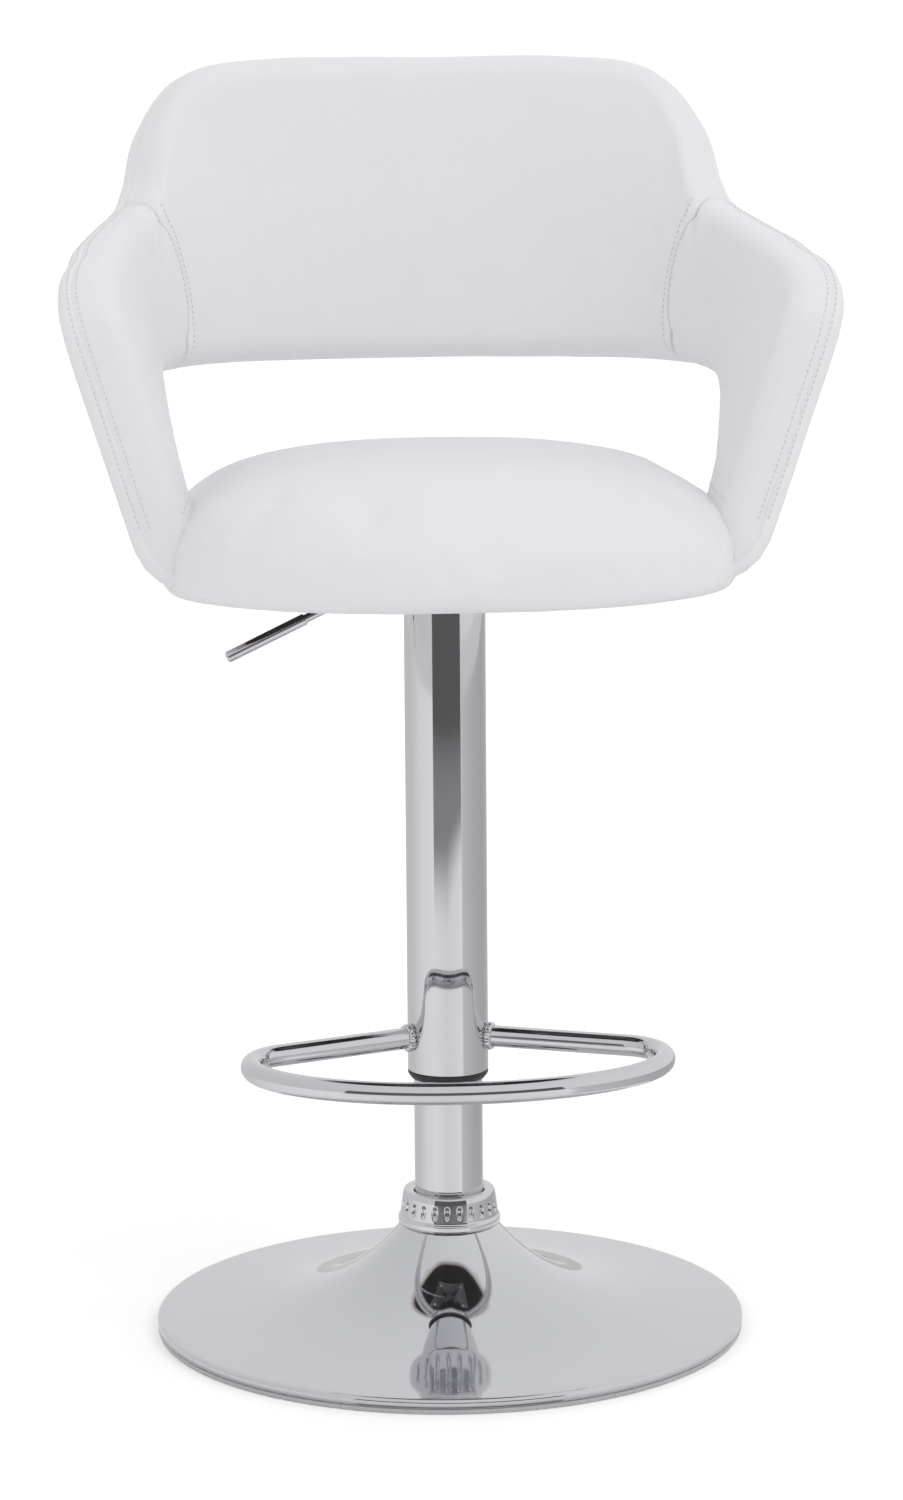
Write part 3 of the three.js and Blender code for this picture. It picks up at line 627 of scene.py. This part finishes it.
def add_floor_ring():
    high = highest("floor_ring")
    outline = rounded([(high.x - 10, 0), (high.x, 0), (high.x, high.z), (high.x - 10, high.z)], 1.2)
    ring = new_piece("base_gasket", *lathe(outline, 200), RUBBER, "base", "grey_rubber", sharp=50)
    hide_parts("floor_ring")


def add_collar():
    """Plated collar with a ring of oval recesses, closing the neck round the column."""
    low, high = lowest("collar_ring"), highest("collar_ring")
    recesses = 24
    bottom, top, radius = low.z, high.z, high.x
    upper = NECK_RADIUS - 3
    hole = COLUMN_RADIUS + 0.35
    corners = [(hole, bottom), (radius, bottom), (radius, bottom + 5.2), (radius - 1.6, bottom + 6.4),
               (upper + 1.6, top - 3.4), (upper + 0.6, top), (hole + 2.4, top), (hole, top - 2.2)]
    outline = []
    for point in rounded(corners, 1.3, 4):
        if outline and abs(point.y - outline[-1][1]) > 2 and point.x > upper:
            last = outline[-1]
            pieces = int(abs(point.y - last[1]) / 0.5)
            outline += [(blend(last[0], point.x, k / pieces), blend(last[1], point.y, k / pieces))
                        for k in range(1, pieces)]
        outline.append((point.x, point.y))
    middle = (bottom + 6.4 + top - 3.4) / 2

    def recess(angle, r, z):
        if r < upper:
            return 0
        turn = (angle * recesses / (2 * math.pi)) % 1 - 0.5
        across = abs(turn) * 2 * math.pi * r / recesses / 2.1
        tall = abs(z - middle) / 5.4
        inside = 1 - (across ** 2.6 + tall ** 2.6) ** (1 / 2.6)
        return -2.2 * ease(inside / 0.6)

    collar = new_piece("collar", *lathe(outline, recesses * 20, recess), CHROME, "base", "chrome", sharp=50)
    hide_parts("collar_ring")


def tube(node, wall, edge=0.6, steps=160):
    low, high = lowest(node), highest(node)
    inner = high.x - wall
    outline = [(inner, low.z), (high.x, low.z), (high.x, high.z), (inner, high.z)]
    return lathe(rounded(outline, edge, 4), steps)


def add_column():
    column = new_piece("column", *tube("column_tube", 2.2), CHROME, "base", "chrome", sharp=40)
    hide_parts("column_tube")


# ---------------------------------------------------------------- shroud, wiper and footrest
def add_shroud():
    shroud = new_piece("shroud", *tube("shroud_tube", 2, 0.9), CHROME, "seat", "chrome", sharp=40)
    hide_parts("shroud_tube")
    low, high = lowest("wiper_bush"), highest("wiper_bush")
    radius = high.x
    seat = lowest("shroud_tube").z - 0.3
    inside = COLUMN_RADIUS + 0.45
    outline = rounded([
        (inside, low.z), (radius - 2.6, low.z), (radius, seat - 2.2), (radius, seat),
        (radius - 2.3, seat), (radius - 2.3, high.z), (inside, high.z),
    ], 0.7, 4)
    wiper = new_piece("wiper", *lathe(outline), PLASTIC, "seat", "black_plastic", sharp=50)
    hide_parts("wiper_bush")


def footrest_path():
    """Centre line: an arm from the shroud, a tight bend, half an ellipse round the front, and back."""
    low, high = lowest("footrest_ring"), highest("footrest_ring")
    bar = (high.z - low.z) / 2
    level = (high.z + low.z) / 2
    half_width = 150
    widest = -88
    reach = widest - (low.y + bar)
    corner = Vector((146, -60))
    start = Vector((SHROUD_RADIUS - 5, -7.5))
    before = corner + (start - corner).normalized() * 20
    right = [blend(start, before, i / 12) for i in range(12)]
    for i in range(14):
        f = i / 14
        right.append(
            before * (1 - f) ** 2
            + Vector((150, -62)) * 2 * f * (1 - f)
            + Vector((half_width, widest)) * f * f
        )
    steps = 40
    for i in range(steps + 1):
        angle = math.pi / 2 * i / steps
        right.append(Vector((half_width * math.cos(angle), widest - reach * math.sin(angle))))
    points = [Vector((p.x, p.y, level)) for p in right]
    return points + [Vector((-p.x, p.y, p.z)) for p in reversed(points[:-1])], bar


def weld(centre, normal, bar, seed):
    """A rippled weld bead round a bar where it meets the shroud."""
    normal = Vector(normal).normalized()
    side = normal.orthogonal().normalized()
    other = normal.cross(side)
    count = 72
    rings = []
    for i in range(count):
        angle = 2 * math.pi * i / count
        out = side * math.cos(angle) + other * math.sin(angle)
        ripple = 1 + 0.16 * math.sin(angle * 17 + seed) + 0.10 * noise.noise(Vector((angle * 2, seed, 0)))
        ring = []
        for k in range(12):
            turn = 2 * math.pi * k / 12
            ring.append(
                centre + out * (bar + 0.2 + 2.0 * ripple * math.cos(turn))
                + normal * 2.6 * ripple * math.sin(turn)
            )
        rings.append(ring)
    return loft(rings, closed=True)


def add_footrest():
    path, bar = footrest_path()
    beads = []
    for i, side in enumerate((-1, 1)):
        ahead = Vector((side * 0.91, -0.42, 0))
        meet = Vector((side * (SHROUD_RADIUS - 0.6), -9.5, path[0].z))
        beads.append(weld(meet + ahead * 1.5, ahead, bar, i * 2.3))
    footrest = new_piece("footrest", *join(sweep(path, bar, 36), *beads), CHROME, "seat", "chrome", sharp=60)
    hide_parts("footrest_ring")


# ---------------------------------------------------------------- lever
def add_lever():
    high = highest("release_lever")
    slope = math.radians(25.5)
    ahead = Vector((-math.cos(slope), 0, -math.sin(slope)))
    blade = 5
    level = high.z - 4.5
    start = Vector((-32, 0, level))
    end = Vector((-160, 0, 0))
    end.z = start.z + (start.x - end.x) * -math.tan(slope)
    length = (end - start).length
    grip_start = length - 64
    outline = rounded(
        [(-37.5, level - 4.5), (high.x, level - 4.5), (high.x, level + 4.5), (-37.5, level + 4.5)], 0.9, 4,
    )
    plate = [[Vector((x, y, z)) for x, z in outline] for y in (-blade / 2, blade / 2)]
    steps = 40
    path = [start + ahead * (length - 3) * i / steps for i in range(steps + 1)]
    rod = sweep(path, 3.2, 32)
    lever = new_piece("lever_rod", *join(loft(plate), rod), CHROME, "lever", "chrome", sharp=40)
    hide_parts("release_lever")

    radius = 4.4
    outline = rounded([
        (grip_start, 3.5), (grip_start, radius), (length - 1.2, radius),
        (length, radius - 1.4), (length, 3.5),
    ], 0.5, 4)
    side = Vector((0, 1, 0))
    other = ahead.cross(side)
    rings = []
    for i in range(48):
        angle = 2 * math.pi * i / 48
        out = side * math.cos(angle) + other * math.sin(angle)
        rings.append([start + ahead * along + out * r for along, r in outline])
    cap = []
    for along, r in (
        (length - 2.5, 3.45), (length - 0.6, 3.4), (length - 0.1, 2.9),
        (length + 0.25, 1.6), (length + 0.3, 0.1),
    ):
        ring = []
        for i in range(48):
            angle = 2 * math.pi * i / 48
            out = side * math.cos(angle) + other * math.sin(angle)
            ring.append(start + ahead * along + out * r)
        cap.append(ring)
    grip = new_piece(
        "lever_sleeve", *join(loft(rings, closed=True), loft(cap)), CHROME, "lever", "chrome", sharp=50,
    )
    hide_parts("lever_grip")


# ---------------------------------------------------------------- the strip of back and arms
def make_plan_table():
    start = 1 / (len(PLAN) - 1)
    points = [(share * SEAT_HALF_WIDTH, y) for share, y in PLAN]
    steps = 800
    table = [(0.0, spline(points, start))]
    for i in range(1, steps + 1):
        p = spline(points, start + (1 - start) * i / steps)
        table.append((table[-1][0] + (p - table[-1][1]).length, p))
    return table


PLAN_TABLE = make_plan_table()
PLAN_DISTANCES = [s for s, p in PLAN_TABLE]
PLAN_LENGTH = PLAN_DISTANCES[-1]


def plan_point(s):
    i = min(max(bisect_right(PLAN_DISTANCES, s), 1), len(PLAN_TABLE) - 1)
    (a, p), (b, q) = PLAN_TABLE[i - 1], PLAN_TABLE[i]
    return blend(p, q, (s - a) / (b - a))


def strip_middle(s, z):
    """Middle surface at distance s round the plan and height z above the seat level.
    In the roll z follows it down."""
    p = plan_point(abs(s))
    rise = max(z, ROLL_START) - PLAN_LEVEL
    rear = max(0, p.y) / 200
    slope = math.atan(p.x * FLARE)
    angle = slope + max(0, ROLL_START - z) / ROLL_RADIUS
    x = p.x * (1 + FLARE * rise) - ROLL_RADIUS * (math.cos(slope) - math.cos(angle))
    down = ROLL_RADIUS * (math.sin(angle) - math.sin(slope))
    return Vector((math.copysign(x, s), p.y + LEAN * rise * rear, SEAT_LEVEL + PLAN_LEVEL + rise - down))


def strip_point(s, z, offset):
    """Point off the middle surface, outward positive."""
    step = 0.5
    along = strip_middle(s + step, z) - strip_middle(s - step, z)
    up = strip_middle(s, z + step) - strip_middle(s, z - step)
    return strip_middle(s, z) + up.cross(along).normalized() * offset


def strip_at(t, share, added, offset):
    """Point at place t along the strip and a share of the way from its inner to its outer edge."""
    low, high = [spline(edge, abs(t)) for edge in (INNER_EDGE, OUTER_EDGE)]
    low.x *= PLAN_LENGTH
    high.x *= PLAN_LENGTH
    at = blend(low, high, share + added / (high - low).length)
    side = -1 if t < 0 else 1
    return strip_point(side * at.x, at.y, offset)


def corner(share, radius, level, start, stop, steps=7):
    """Rounded long edge as section entries: share, added, offset, and the direction out of the cover."""
    sign = 1 if share else -1
    entries = []
    for i in range(steps + 1):
        angle = math.radians(start + (stop - start) * i / steps)
        across, out = math.cos(angle), math.sin(angle)
        entries.append((share, sign * radius * (across - 1), level + radius * out, sign * across, out))
    return entries


def wall(share, start, stop, steps=5):
    sign = 1 if share else -1
    return [(share, 0, blend(start, stop, i / steps), sign, 0) for i in range(steps)]


def face(level, radius, first, last, out, steps=34):
    entries = []
    for i in range(1, steps):
        share = blend(first, last, i / steps)
        entries.append((share, radius * (1 - 2 * share), level, 0, out))
    return entries


COVER_LAP = 1.6  # the inner covers reach this far behind the outer one at their shared seam
INNER_ROUND = 17
OUTER_ROUND = 12
INNER_SECTION = (
    wall(1, SPLIT, INNER_ROUND - HALF_THICKNESS)
    + corner(1, INNER_ROUND, INNER_ROUND - HALF_THICKNESS, 0, -90)
    + face(-HALF_THICKNESS, INNER_ROUND, 1, 0, -1)
    + corner(0, INNER_ROUND, INNER_ROUND - HALF_THICKNESS, -90, 0)
    + wall(0, INNER_ROUND - HALF_THICKNESS, SPLIT) + [(0, 0, SPLIT, -1, 0), (0, 0, SPLIT + COVER_LAP, -1, 0)]
    + face(SPLIT + COVER_LAP, 0, 0, 1, 0, 8) + [(1, 0, SPLIT + COVER_LAP, 1, 0)]
)
OUTER_SECTION = (
    wall(0, SPLIT, HALF_THICKNESS - OUTER_ROUND, 3)
    + corner(0, OUTER_ROUND, HALF_THICKNESS - OUTER_ROUND, 0, 90)
    + face(HALF_THICKNESS, OUTER_ROUND, 0, 1, 1)
    + corner(1, OUTER_ROUND, HALF_THICKNESS - OUTER_ROUND, 90, 0)
    + wall(1, HALF_THICKNESS - OUTER_ROUND, SPLIT, 3) + [(1, 0, SPLIT, 1, 0)]
    + face(SPLIT, 0, 1, 0, 0, 8) + [(0, 0, SPLIT, -1, 0)]
)


SEAM_LAP = 0.003  # how far covers pass each other at a seam, as places along the strip
STRIP_PACE = 336  # millimetres along the strip for each whole place
EDGE_TUCK_REACH = 3.5  # how far from the edge seam a cover pulls in
EDGE_TUCK_DEPTH = 1.0


def seam_place(share, side):
    """Place of the back-to-arm seam at a share of the way from the inner to the outer edge."""
    return side * (SEAM_AT - SEAM_BOW * 4 * share * (1 - share))


def tuck(distance, reach=4.5, depth=1.5):
    """How far a cover pulls in beside its seam."""
    return -depth * (1 - clamp(distance / reach)) ** 2


def cover(start, stop, stations, section, swell, ends):
    """A closed cover between two places along the strip, each a number or a function of share.
    swell(t, share, offset) is its fullness, and ends says which of its two ends is a seam."""
    rings = []
    for i in range(stations + 1):
        f = i / stations
        ring = []
        for share, added, offset, across, out in section:
            first = start(share) if callable(start) else start
            last = stop(share) if callable(stop) else stop
            first -= math.copysign(SEAM_LAP if ends[0] else 0, last - first)
            last += math.copysign(SEAM_LAP if ends[1] else 0, last - first)
            t = blend(first, last, f)
            length = abs(last - first) * STRIP_PACE
            lapped = offset >= SPLIT and section is not OUTER_SECTION
            beside = 0 if lapped else abs(offset - SPLIT)
            extra = swell(t, share, offset) + tuck(beside, EDGE_TUCK_REACH, EDGE_TUCK_DEPTH)
            if ends[0]:
                extra += tuck(f * length)
            if ends[1]:
                extra += tuck((1 - f) * length)
            ring.append(strip_at(t, share, added + extra * across, offset + extra * out))
        rings.append(ring)
    return loft(rings)


def pulls(t, share):
    """Fine folds that fan out from the top end of the back-to-arm seam and from the window's corner."""
    near = math.exp(-abs(abs(t) - SEAM_AT) * 15)
    top = near * ease((share - 0.6) / 0.35) * math.sin(abs(t) * 130 + share * 11)
    bottom = near * ease((0.3 - share) / 0.3) * math.sin(abs(t) * 90 - share * 14)
    return 0.8 * top + 0.5 * bottom


def pad_swell(t, share, offset):
    """Fullness of the inner covers: a crown over foam, folds at the seam ends and a little slack."""
    crown = 1.6 * math.sin(math.pi * clamp(share)) ** 0.7 if offset < 0 else 0.4
    broad = noise.noise(Vector((t * 7, share * 3, 1.7)))
    fine = noise.noise(Vector((t * 22, share * 9, 4.2)))
    slack = 0.7 * broad + 0.35 * fine
    return crown + pulls(t, share) + slack


def shell_swell(t, share, offset):
    slack = 0.5 * noise.noise(Vector((t * 7, share * 4, 9.3)))
    return 1.0 * math.sin(math.pi * clamp(share)) ** 0.8 + slack


def held_points(stations, section):
    """1 for the points of a cover that its seams hold, 0 for the free ones."""
    weights = []
    for i in range(stations + 1):
        for share, added, offset, across, out in section:
            weights.append(1.0 if offset > SPLIT - 3.5 or i in (0, 1, stations - 1, stations) else 0.0)
    return weights


def inflate(piece, weights, pressure, limit, frames=20):
    """Stuffs a cover: cloth held along its seams and blown out, moving no further than about the limit."""
    group = piece.vertex_groups.new(name="held")
    for index, weight in enumerate(weights):
        if weight:
            group.add([index], weight, "REPLACE")
    modifier = piece.modifiers.new("stuffing", "CLOTH")
    cloth = modifier.settings
    cloth.quality = 6
    cloth.mass = 0.25
    cloth.tension_stiffness = cloth.compression_stiffness = 18
    cloth.shear_stiffness = 8
    cloth.bending_stiffness = 0.6
    cloth.use_pressure = True
    cloth.uniform_pressure_force = pressure
    cloth.vertex_group_mass = "held"
    cloth.effector_weights.gravity = 0
    modifier.collision_settings.use_collision = False
    modifier.point_cache.frame_start = 1
    modifier.point_cache.frame_end = frames
    for number in range(1, frames + 1):
        bpy.context.scene.frame_set(number)
    shaped = piece.evaluated_get(bpy.context.evaluated_depsgraph_get()).data
    shifts = [moved.co - vertex.co for moved, vertex in zip(shaped.vertices, piece.data.vertices)]
    piece.modifiers.remove(modifier)
    piece.vertex_groups.remove(group)
    for vertex, shift in zip(piece.data.vertices, shifts):
        length = shift.length / MM
        if length > 1e-6:
            vertex.co += shift * (limit * math.tanh(length / limit) / length)
    bpy.context.scene.frame_set(1)


def apply_modifier(piece, kind, **settings):
    modifier = piece.modifiers.new("shaping", kind)
    for key, value in settings.items():
        setattr(modifier, key, value)
    bpy.context.view_layer.objects.active = piece
    with bpy.context.temp_override(object=piece, active_object=piece):
        bpy.ops.object.modifier_apply(modifier="shaping")
    piece.data.shade_smooth()


def subdivide(piece):
    apply_modifier(piece, "SUBSURF", levels=1, render_levels=1)


def stuffed_cover(name, node, start, stop, stations, ends):
    """One of the inner covers, stuffed over its foam."""
    verts, faces = cover(start, stop, stations, INNER_SECTION, pad_swell, ends)
    piece = new_piece(name, verts, faces, LEATHER, "seat", "white_leatherette")
    inflate(piece, held_points(stations, INNER_SECTION), 3.5, 4.0)
    subdivide(piece)
    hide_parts(node)
    return piece


def add_covers():
    back = stuffed_cover("back_cover", "back_pad", lambda share: seam_place(share, -1),
                         lambda share: seam_place(share, 1), 84, (True, True))
    arms = [
        stuffed_cover(f"arm_cover_{word}", f"arm_pad_{word}",
                      lambda share, side=side: seam_place(share, side), side * ARM_END, 72, (True, False))
        for word, side in (("left", -1), ("right", 1))
    ]
    shell = new_piece("outer_cover", *cover(-1, 1, 220, OUTER_SECTION, shell_swell, (False, False)),
                      LEATHER, "seat", "white_leatherette")
    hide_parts("back_shell", *(f"shell_bolt_{i}" for i in range(1, 5)))
    return back, arms, shell


# ---------------------------------------------------------------- cushion
CUSHION_HALF_WIDTH = SEAT_HALF_WIDTH + 7
CUSHION_BOTTOM = -15
CUSHION_WIDEST = 20
CUSHION_TOP = 80
CUSHION_FRONT = -lowest("seat_cushion").y
CUSHION_REAR = highest("seat_cushion").y


def squared_oval(half_width, front, rear, z, count=120):
    ring = []
    for i in range(count):
        angle = 2 * math.pi * i / count
        across, along = math.cos(angle), math.sin(angle)
        x = math.copysign(abs(across) ** 0.8, across) * half_width
        y = math.copysign(abs(along) ** 0.8, along) * (front if along < 0 else rear)
        ring.append(Vector((x, y, SEAT_LEVEL + z)))
    return ring


def cushion_ring(inset, scale, z):
    """A level of the cushion, which fills out against the posts."""
    ring = squared_oval((CUSHION_HALF_WIDTH - inset) * scale, (CUSHION_FRONT - inset) * scale,
                        (CUSHION_REAR - inset) * scale, z)
    for p in ring:
        p.x *= 1 + 0.045 * math.exp(-((p.y + 85) / 60) ** 2) * scale ** 4
    return ring


def inside_board(point, board):
    """Whether a point lies in the recess that the seat board fills."""
    depth = board.y if point.y < 0 else board.z
    share = abs(point.x / (board.x + 3)) ** 2.5 + abs(point.y / (depth + 3)) ** 2.5
    return share < 1 and point.z < highest("seat_board").z + 2


def board_ring(board, gap, z):
    return squared_oval(board.x + gap, board.y + gap, board.z + gap, z)


def add_cushion():
    """The seat cushion, crowned on top and pulled round the edge of its board, open from below."""
    board = Vector((highest("seat_board").x, -lowest("seat_board").y, highest("seat_board").y))
    top = highest("seat_board").z - SEAT_LEVEL + 0.8
    rings = [board_ring(board, 1, z) for z in (top, top - 6, top - 12, 0.5)]
    rings += [board_ring(board, 2.4, CUSHION_BOTTOM + 5), board_ring(board, 5, CUSHION_BOTTOM + 2)]
    for degrees in range(84, 0, -7):
        angle = math.radians(degrees)
        z = CUSHION_WIDEST - (CUSHION_WIDEST - CUSHION_BOTTOM) * math.sin(angle)
        rings.append(cushion_ring(12 * (1 - math.cos(angle)), 1, z))
    for degrees in range(0, 90, 5):
        angle = math.radians(degrees)
        z = CUSHION_WIDEST + (CUSHION_TOP - CUSHION_WIDEST) * math.sin(angle) ** 0.8
        rings.append(cushion_ring(0, math.cos(angle) ** 0.8, z))
    cushion = new_piece("cushion", *loft(rings), LEATHER, "seat", "white_leatherette")
    apply_modifier(cushion, "REMESH", mode="VOXEL", voxel_size=0.006, use_smooth_shade=True)
    border = (SEAT_LEVEL + CUSHION_BOTTOM + 9) * MM
    held = [1.0 if v.co.z < border or inside_board(v.co / MM, board) else 0.0 for v in cushion.data.vertices]
    inflate(cushion, held,
            4.0, 7.0)
    apply_modifier(cushion, "SMOOTH", factor=0.5, iterations=4)
    subdivide(cushion)
    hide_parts("seat_cushion")
    return cushion


# ---------------------------------------------------------------- stitches
FOOT_STITCHES = 0.94  # the edge rows end here, at the cushion
FOOT_SEAM_GAP = 0.009  # the foot row lies this far above the cushion, as places along the strip
FOOT_SEARCH_FROM = 0.82  # the cushion is looked for from this place downwards
FOOT_SEARCH_STEP = 0.0008
ROW_OFF_SEAM = 0.0085  # rows beside the back-to-arm seam, as places along the strip
EDGE_ROW = 3.6  # millimetres from the edge seam to the row on either side


def surface_tree(piece):
    points = [v.co for v in piece.data.vertices]
    return BVHTree.FromPolygons(points, [p.vertices[:] for p in piece.data.polygons])


def stitch_row(name, points, piece, pitch=4.4, length=3.1, thickness=0.42):
    """A row of thread stitches laid on a piece's surface along a line of points in millimetres."""
    tree = surface_tree(piece)
    line = []
    for point in points:
        spot, normal = tree.find_nearest(point * MM)[:2]
        line.append((spot / MM, normal))
    distances = [0.0]
    for (a, _), (b, _) in zip(line, line[1:]):
        distances.append(distances[-1] + (b - a).length)

    def at(distance):
        i = min(max(bisect_right(distances, distance), 1), len(line) - 1)
        f = (distance - distances[i - 1]) / max(distances[i] - distances[i - 1], 1e-6)
        return blend(line[i - 1][0], line[i][0], f), blend(line[i - 1][1], line[i][1], f).normalized()

    parts = []
    for k in range(int(distances[-1] / pitch)):
        path = []
        for j in range(6):
            f = j / 5
            spot, normal = at(k * pitch + length * f)
            path.append(spot + normal * (thickness * (1.5 * math.sin(math.pi * f) - 0.75)))
        parts.append(sweep(path, lambda f: thickness * (0.55 + 0.45 * math.sin(math.pi * f)), 6))
    new_piece(name, *join(*parts), THREAD, "seat", "white_leatherette")


def meets_cushion(side, share, offset, tree):
    """Place along the strip at which the inner cover's face runs into the cushion."""
    for step in range(200):
        t = FOOT_SEARCH_FROM + FOOT_SEARCH_STEP * step
        point = strip_at(side * t, share, 0, offset)
        spot, normal = tree.find_nearest(point * MM)[:2]
        if (point * MM - spot).dot(normal) < 0:
            return t
    return None


def add_stitches(back, arms, shell, cushion):
    cushion_tree = surface_tree(cushion)
    for side, word, arm in ((-1, "left", arms[0]), (1, "right", arms[1])):
        shares = [0.02 + 0.96 * i / 60 for i in range(61)]
        for shift, piece, kind in ((-ROW_OFF_SEAM, back, "back"), (ROW_OFF_SEAM, arm, "arm")):
            points = [
                strip_at(seam_place(f, side) + side * shift, f, 0, -HALF_THICKNESS - 3) for f in shares
            ]
            stitch_row(f"stitches_{kind}_{word}", points, piece)
        places = [SEAM_AT + 0.015 + (FOOT_STITCHES - SEAM_AT) * i / 90 for i in range(91)]
        points = [strip_at(side * t, 1, 1, SPLIT - EDGE_ROW) for t in places]
        stitch_row(f"stitches_arm_edge_{word}", points, arm)
        points = [strip_at(side * t, 1, 1, SPLIT + EDGE_ROW) for t in places]
        stitch_row(f"stitches_shell_edge_{word}", points, shell)
        points = []
        for share in (0.05 + 0.9 * i / 24 for i in range(25)):
            t = meets_cushion(side, share, -HALF_THICKNESS - 2, cushion_tree)
            if t:
                points.append(strip_at(side * (t - FOOT_SEAM_GAP), share, 0, -HALF_THICKNESS - 2))
        if len(points) > 4:
            stitch_row(f"stitches_foot_{word}", points, arm)


# ---------------------------------------------------------------- assembly
def finish_cad_nodes():
    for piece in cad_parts.values():
        name = piece.data.materials[0].name if piece.data.materials else "steel"
        match = next((key for key in CAD_FINISHES if name.startswith(key)), "steel")
        for slot in piece.material_slots:
            slot.material = CAD_FINISHES[match]


add_camera()
add_studio()
finish_cad_nodes()
add_dish()
add_floor_ring()
add_collar()
add_column()
add_shroud()
add_footrest()
add_lever()
covers = add_covers()
seat_cushion = add_cushion()
add_stitches(*covers, seat_cushion)
